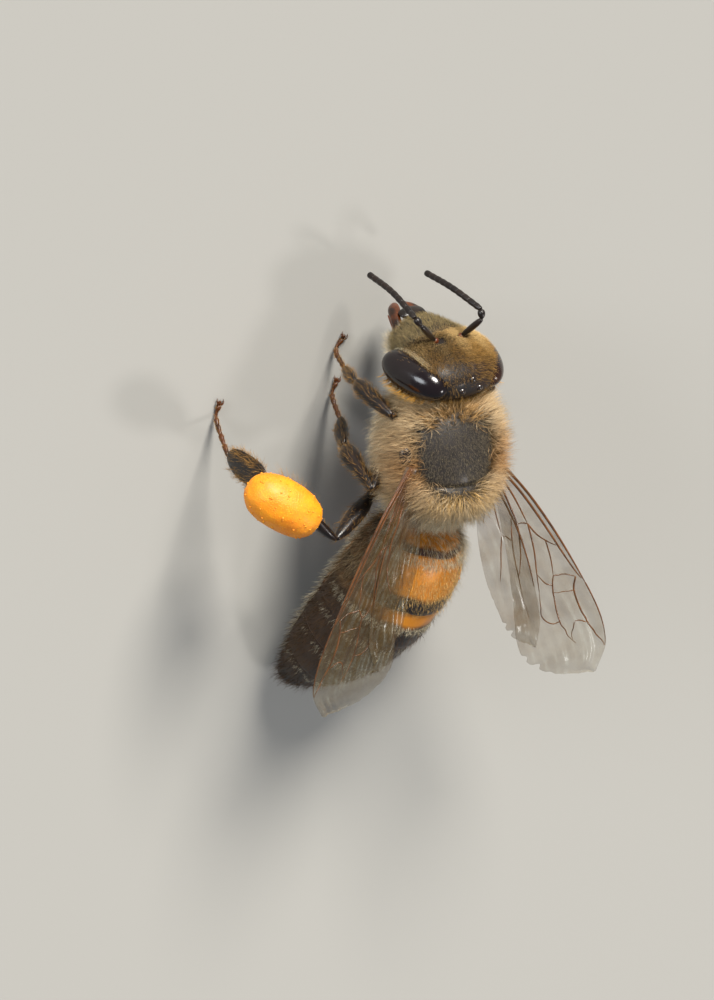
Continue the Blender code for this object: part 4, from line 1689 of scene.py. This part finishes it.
# For each part: the numbers of its two joints, the hairs of one rod, and their lengths.
LEG_HAIR = {
    "femur": ((0, 1), 260, (0.12, 0.3)),
    "tibia": ((1, 2), 380, (0.1, 0.24)),
    "basitarsus": ((2, 3), 360, (0.08, 0.2)),
    "tarsus": ((3, 5), 40, (0.06, 0.11)),
}


@dataclass
class Leg:
    """One leg: coxa, femur, tibia, basitarsus, four short segments and the claws.

    foot is the last segment's length, foot_height the height at which the tarsus ends,
    rest the height of the foot's middle line, claw the half-widths along a claw, and
    segments hold the start, end and half-width of the tarsus's short segments.
    """

    pair: Pair
    side: Side
    finishes: Finishes
    foot: float = 0.3
    foot_height: float = 0.2
    rest: float = 0.1
    claw: Outline = ((0, 0.028, 0.028), (0.5, 0.022, 0.022), (1, 0.006, 0.006))
    segments: Outline = (
        (0, 0.2, 0.09), (0.19, 0.36, 0.088), (0.35, 0.51, 0.086), (0.5, 0.65, 0.082),
    )

    def __post_init__(self) -> None:
        """Works out the joints."""
        self.sizes = LEG_SIZES[self.pair]
        *aims, foot_azimuth = LEG_AIMS[self.pair, self.side]
        self.joints = [on_thorax(np.array(self.sizes.root) * (self.side.value, 1, 1))]
        for aim, length in zip(aims, self.sizes.lengths):
            self.joints.append(self.joints[-1] + heading(*aim) * length)
        self.joints.append(self.toe(foot_azimuth))
        self.joints.append(self.joints[-1] + heading(foot_azimuth, 0) * self.foot)
        self.outward = heading(90 * self.side.value, FACE_RISE[self.side])
        self.stem = f"{self.pair.value}_{self.side.word}"
        self.rods = self.forms()

    def toe(self, azimuth: float) -> Array:
        """Where the tarsus reaches the floor."""
        heel, length = self.joints[-1], self.sizes.lengths[3]
        drop = math.degrees(math.asin((heel[2] - self.foot_height) / length))
        return heel + heading(azimuth, -drop) * length

    def forms(self) -> dict[str, list[Form]]:
        """The rods of each part of the leg."""
        root, knee, ankle, heel, toe, end = self.joints
        out, thick, flat = self.outward, self.sizes.femur, self.sizes.flat
        thigh = knee - root
        coxa = [(0, 0.27, 0.25), (0.6, 0.25, 0.23), (1, 0.17, 0.16)]
        ring = [(0, 0.17, 0.16), (1, 0.17, 0.16)]
        bulge = [
            (0, 0.13, 0.13),
            (0.3, thick, thick * 0.85),
            (0.65, thick * 0.92, thick * 0.8),
            (1, 0.13, 0.13),
        ]
        femur = [
            rod([root, root + thigh * 0.28], coxa, out, 3),
            rod([root + thigh * 0.23, root + thigh * 0.36], ring, out, 3),
            rod([root + thigh * 0.31, knee], bulge, out, 4),
        ]
        first, middle, last = self.sizes.tibia
        shin = [
            (0, first * 0.8, 0.12),
            (0.08, first, 0.14),
            (0.5, middle, max(middle * flat, 0.13)),
            (0.9, last, max(last * flat, 0.12)),
            (1, last * 0.8, 0.11),
        ]
        tibia = [rod([knee, ankle], shin, out, 5)]
        first, middle, last = self.sizes.basitarsus
        brush = [
            (0, first * 0.7, 0.09),
            (0.12, first, 0.11),
            (0.5, middle, max(middle * flat * 0.8, 0.1)),
            (0.92, last, 0.1),
            (1, last * 0.7, 0.08),
        ]
        basitarsus = [rod([ankle + (heel - ankle) * 0.02, heel], brush, out, 5)]
        low = np.array([0.0, 0.0, self.rest - self.foot_height])
        line = curve([(0.0, *heel), (0.74, *(toe + low)), (1.0, *(end + low))])
        tarsus = []
        for start, stop, wide in self.segments:
            path = list(line(np.linspace(start, stop, 3)))
            ends = [(0.9, wide, 0.072), (1, wide * 0.9, 0.066)]
            tarsus.append(rod(path, [(0, 0.06, 0.06), (0.4, 0.072, 0.066), *ends], out, 4))
        path = list(line(np.linspace(0.63, 1.0, 5)))
        sizes = [(0, 0.045, 0.045), (0.5, 0.055, 0.05), (0.9, 0.085, 0.07), (1, 0.07, 0.06)]
        tarsus.append(rod(path, sizes, out, 4))
        return {"femur": femur, "tibia": tibia, "basitarsus": basitarsus, "tarsus": tarsus}

    def build(self) -> None:
        """Makes the leg's pieces."""
        for part, rods in self.rods.items():
            rows = 40 if len(rods) == 1 else 24
            finish = self.finishes.horn if part == "tarsus" else self.finishes.dark
            mesh = gathered([form.sculpt(rows, 28) for form in rods])
            node = f"{part}_{self.stem}"
            settle(f"{node}_shell", mesh, finish, "dark_shell", node)
        self.build_claws()

    def build_claws(self) -> None:
        """Two forked claws and the pad between them."""
        end = self.joints[-1] + (0, 0, self.rest - self.foot_height)
        way = unit(self.joints[-1] - self.joints[-2])
        across = np.cross(way, (0.0, 0.0, 1.0))
        down = np.array([0.0, 0.0, -1.0])
        claws = []
        for s in (1, -1):
            for reach, drop in ((0.2, 0.07), (0.12, 0.075)):
                path = [
                    end + across * s * 0.04,
                    end + across * s * 0.1 + way * reach * 0.5 + (0, 0, 0.015),
                    end + across * s * 0.115 + way * reach + down * drop,
                ]
                claws.append(rod(path, self.claw, across, 4).sculpt(14, 10))
        pad = ovoid(end + way * 0.07 + down * 0.02, [across * 0.06, down * -0.045, way * 0.075])
        claws.append(pad.sculpt(12, 16))
        horn, node = self.finishes.horn, f"tarsus_{self.stem}"
        settle(f"claws_{self.stem}", gathered(claws), horn, "dark_shell", node)

    def locks(self) -> list[tuple[Form, Lock]]:
        """Golden hair over the leg, pointing to its foot."""
        grown = []
        colour = plain(srgb(172, 130, 70))
        for part, rods in self.rods.items():
            joints, count, long = LEG_HAIR[part]
            start, end = (self.joints[i] for i in joints)
            way, edge = steady(*unit(end - start)), self.edge(start, end)
            density, fringe = everywhere, ()
            if self.pair is Pair.HIND and part == "tibia":
                density = self.smooth_face(start, end)
                fringe = (Lock(260, (0.35, 0.7), 0.010, edge, way, colour, lift=0.6),)
            elif self.pair is Pair.HIND and part == "basitarsus":
                fringe = (Lock(420, (0.16, 0.3), 0.010, edge, way, colour, lift=0.55),)
            short = Lock(count, long, 0.008, density, way, colour, lift=0.35)
            grown += [(form, lock) for form in rods for lock in (short, *fringe)]
        return grown

    def facing(self, start: Array, end: Array) -> tuple[Array, Array, Array]:
        """A part's way, the way its broad side looks, and the way across both."""
        axis = unit(end - start)
        face = unit(self.outward - axis * (self.outward @ axis))
        return axis, face, np.cross(axis, face)

    def edge(self, start: Array, end: Array) -> Callable[[Array], Array]:
        """Thick along the two narrow edges of a flat part."""
        across = self.facing(start, end)[2]
        return lambda points: smooth(0.18, 0.34, np.abs((points - start) @ across))

    def smooth_face(self, start: Array, end: Array) -> Callable[[Array], Array]:
        """Bare on the broad outer face, where the pollen sits."""
        face = self.facing(start, end)[1]
        return lambda points: 1 - 0.9 * smooth(0.02, 0.08, (points - start) @ face)


@dataclass
class PollenLoad:
    """The pollen pressed on the outer face of a hind tibia.

    half is its half-length, half-width and half-depth, along a share of the tibia from
    the knee, out and across how far it stands off the tibia, and slant its tilt.
    """

    leg: Leg
    finishes: Finishes
    half: Place = (1.3, 0.84, 0.82)
    along: float = 0.87
    out: float = 0.7
    across: float = 0.42
    slant: float = -0.25
    grains: int = 120
    grain_sizes: Aim = (0.018, 0.045)

    def __post_init__(self) -> None:
        """Works out where the load sits."""
        leg = self.leg
        knee, ankle = leg.joints[1:3]
        axis, face, across = leg.facing(knee, ankle)
        centre = knee + (ankle - knee) * self.along + face * self.out + across * self.across
        axis, across = unit(axis + across * self.slant), unit(across - axis * self.slant)
        long, wide, deep = self.half
        self.form = ovoid(centre, [across * wide, face * deep, axis * long], 2.4)
        self.centre = centre

    def lumpy(self, v: Array, phi: Array) -> Array:
        """The load's surface, uneven from the packing."""
        points = self.form.surface(v, phi)
        off = points - self.centre
        x, y, z = (off * 2.6 + 3 * self.leg.side.value).T
        lumps = np.sin(x * 1.3 + np.sin(y)) * np.sin(y * 1.1 + 2) + np.sin(z * 1.7 + x)
        fine = np.sin(x * 4.1 + z * 2.2) * np.sin(y * 3.7) * np.sin(z * 4.3 + 1)
        return self.centre + off * (0.965 + 0.02 * lumps + 0.008 * fine)[:, None]

    def build(self) -> None:
        """Makes the load and the loose grains on it."""
        node, finish = f"pollen_{self.leg.side.word}", self.finishes.pollen
        form = Form(self.lumpy)
        settle(f"{node}_load", form.sculpt(110, 110), finish, "pollen", node)
        rng = np.random.default_rng(SEED + 70 + self.leg.side.value)
        v = np.arccos(rng.uniform(-1, 1, self.grains)) / math.pi
        phi = rng.uniform(-math.pi, math.pi, self.grains)
        grains = bmesh.new()
        for point, size in zip(form.surface(v, phi), rng.uniform(*self.grain_sizes, self.grains)):
            at = Matrix.Translation(point)
            bmesh.ops.create_icosphere(grains, subdivisions=1, radius=size, matrix=at)
        settle(f"{node}_grains", grains, finish, "pollen", node)


@dataclass
class Studio:
    """The floor, the soft light and the camera.

    front is the way from the bee to the camera and right the view's right-hand side.
    across and down set the middle of the view off the thorax, view_height is what it
    shows there, and floor_half is in metres. key_power and sky are the strengths of the
    key light and of the light from all round, and key_spread is the key's angle.
    """

    front: Place = (0.5, -0.4589, 0.7344)
    right: Place = (-0.85, -0.12, 0.51)
    distance: float = 300.0
    across: float = 2.4242
    down: float = 1.5152
    view_height: float = 30.303
    floor_half: float = 3.0
    key_power: float = 7.6
    key_spread: float = 20.0
    sky: float = 0.28

    def build(self) -> None:
        """Makes the stage."""
        self.build_floor()
        self.build_world()
        self.build_lights()
        self.build_camera()

    def axes(self) -> tuple[Array, Array, Array]:
        """The camera's right, up and back."""
        back = unit(np.array(self.front))
        side = np.array(self.right)
        right = unit(side - back * (side @ back))
        return right, np.cross(back, right), back

    def build_floor(self) -> None:
        """A wide pale floor."""
        mesh = bmesh.new()
        bmesh.ops.create_grid(mesh, x_segments=1, y_segments=1, size=self.floor_half)
        data = bpy.data.meshes.new("floor")
        mesh.to_mesh(data)
        mesh.free()
        data.materials.append(StudioFloor("floor").material())
        floor = bpy.data.objects.new("floor", data)
        bpy.context.collection.objects.link(floor)

    def build_world(self) -> None:
        """Even pale light from all round."""
        world = bpy.data.worlds.new("studio")
        world.use_nodes = True
        shade = world.node_tree.nodes["Background"]
        shade.inputs["Color"].default_value = (0.86, 0.92, 1.0, 1.0)
        shade.inputs["Strength"].default_value = self.sky
        bpy.context.scene.world = world
        bpy.context.scene.view_settings.view_transform = "Standard"

    def build_lights(self) -> None:
        """A soft key from the upper right of the view, a fill and a small glint."""
        right, up, back = self.axes()
        key = bpy.data.lights.new("key", "SUN")
        key.angle, key.energy = math.radians(self.key_spread), self.key_power
        key.color = (1.0, 0.95, 0.87)
        self.hang(key, right * 0.5 + up * 0.75 + back * 1.0, 0.5)
        for name, way, distance, size, watts, colour in (
            ("fill", -right * 0.7 + up * 0.1 + back * 1.0, 0.5, 0.2, 1.2, (0.9, 0.95, 1.0)),
            ("glint", right * 0.8 - up * 0.6 + back * 0.2, 0.4, 0.06, 0.45, (1.0, 0.96, 0.93)),
        ):
            data = bpy.data.lights.new(name, "AREA")
            data.shape, data.size, data.energy, data.color = "DISK", size, watts, colour
            self.hang(data, way, distance)

    def hang(self, data: bpy.types.Light, way: Array, distance: float) -> None:
        """Hangs a light that way off the bee and turns it to the bee."""
        lamp = bpy.data.objects.new(data.name, data)
        way = unit(way)
        lamp.location = Vector(THORAX_AT * MM + way * distance)
        lamp.rotation_euler = Vector(way).to_track_quat("Z", "Y").to_euler()
        bpy.context.collection.objects.link(lamp)

    def build_camera(self) -> None:
        """A long lens on the bee's back, head and left side."""
        right, up, back = self.axes()
        data = bpy.data.cameras.new("camera")
        data.sensor_fit = "VERTICAL"
        data.sensor_height = 36.0
        data.lens = data.sensor_height * self.distance / self.view_height
        data.clip_start, data.clip_end = 0.01, 5.0
        camera = bpy.data.objects.new("camera", data)
        centre = THORAX_AT - right * self.across - up * self.down
        turn = Matrix(np.column_stack([right, up, back]).tolist()).to_4x4()
        place = Matrix.Translation(Vector((centre + back * self.distance) * MM))
        camera.matrix_world = place @ turn
        bpy.context.collection.objects.link(camera)
        bpy.context.scene.camera = camera


class Bee:
    """The whole bee."""

    def __init__(self) -> None:
        """Makes the finishes and lays out every part."""
        self.finishes = Finishes.made()
        self.head = Head(self.finishes)
        self.thorax = Thorax(self.finishes)
        self.abdomen = Abdomen(self.finishes)
        self.wings = Wings(self.finishes)
        self.legs = [Leg(pair, side, self.finishes) for pair, side in LEG_AIMS]
        self.pollen = [PollenLoad(leg, self.finishes) for leg in self.legs if leg.pair is Pair.HIND]

    def build(self) -> None:
        """Makes every piece."""
        for part in (self.head, self.thorax, self.abdomen, self.wings, *self.legs, *self.pollen):
            part.build()
        self.build_coats()

    def build_coats(self) -> None:
        """Grows the parts' hair as nine coats."""
        head = self.head.locks()
        disc, around, rear, fine, collar, breast = self.thorax.locks()
        first, row, over, sides, belly = self.abdomen.locks()
        coats = {
            "fur_head": head[:4],
            "fur_cheeks": head[4:],
            "fur_back": [disc, rear, collar],
            "fur_sides": [around],
            "fur_breast": [fine, breast],
            "fur_waist": [first, row, belly],
            "fur_abdomen": [over, sides],
        }
        for side in Side:
            legs = (leg for leg in self.legs if leg.side is side)
            coats[f"fur_legs_{side.word}"] = [lock for leg in legs for lock in leg.locks()]
        for number, (name, locks) in enumerate(coats.items()):
            Coat(name, self.finishes.hair, number, locks).build()


def main() -> None:
    """Builds the bee and its stage."""
    logging.basicConfig(level=logging.INFO, format="%(message)s")
    Studio().build()
    Bee().build()
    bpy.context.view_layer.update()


if __name__ == "__main__":
    main()
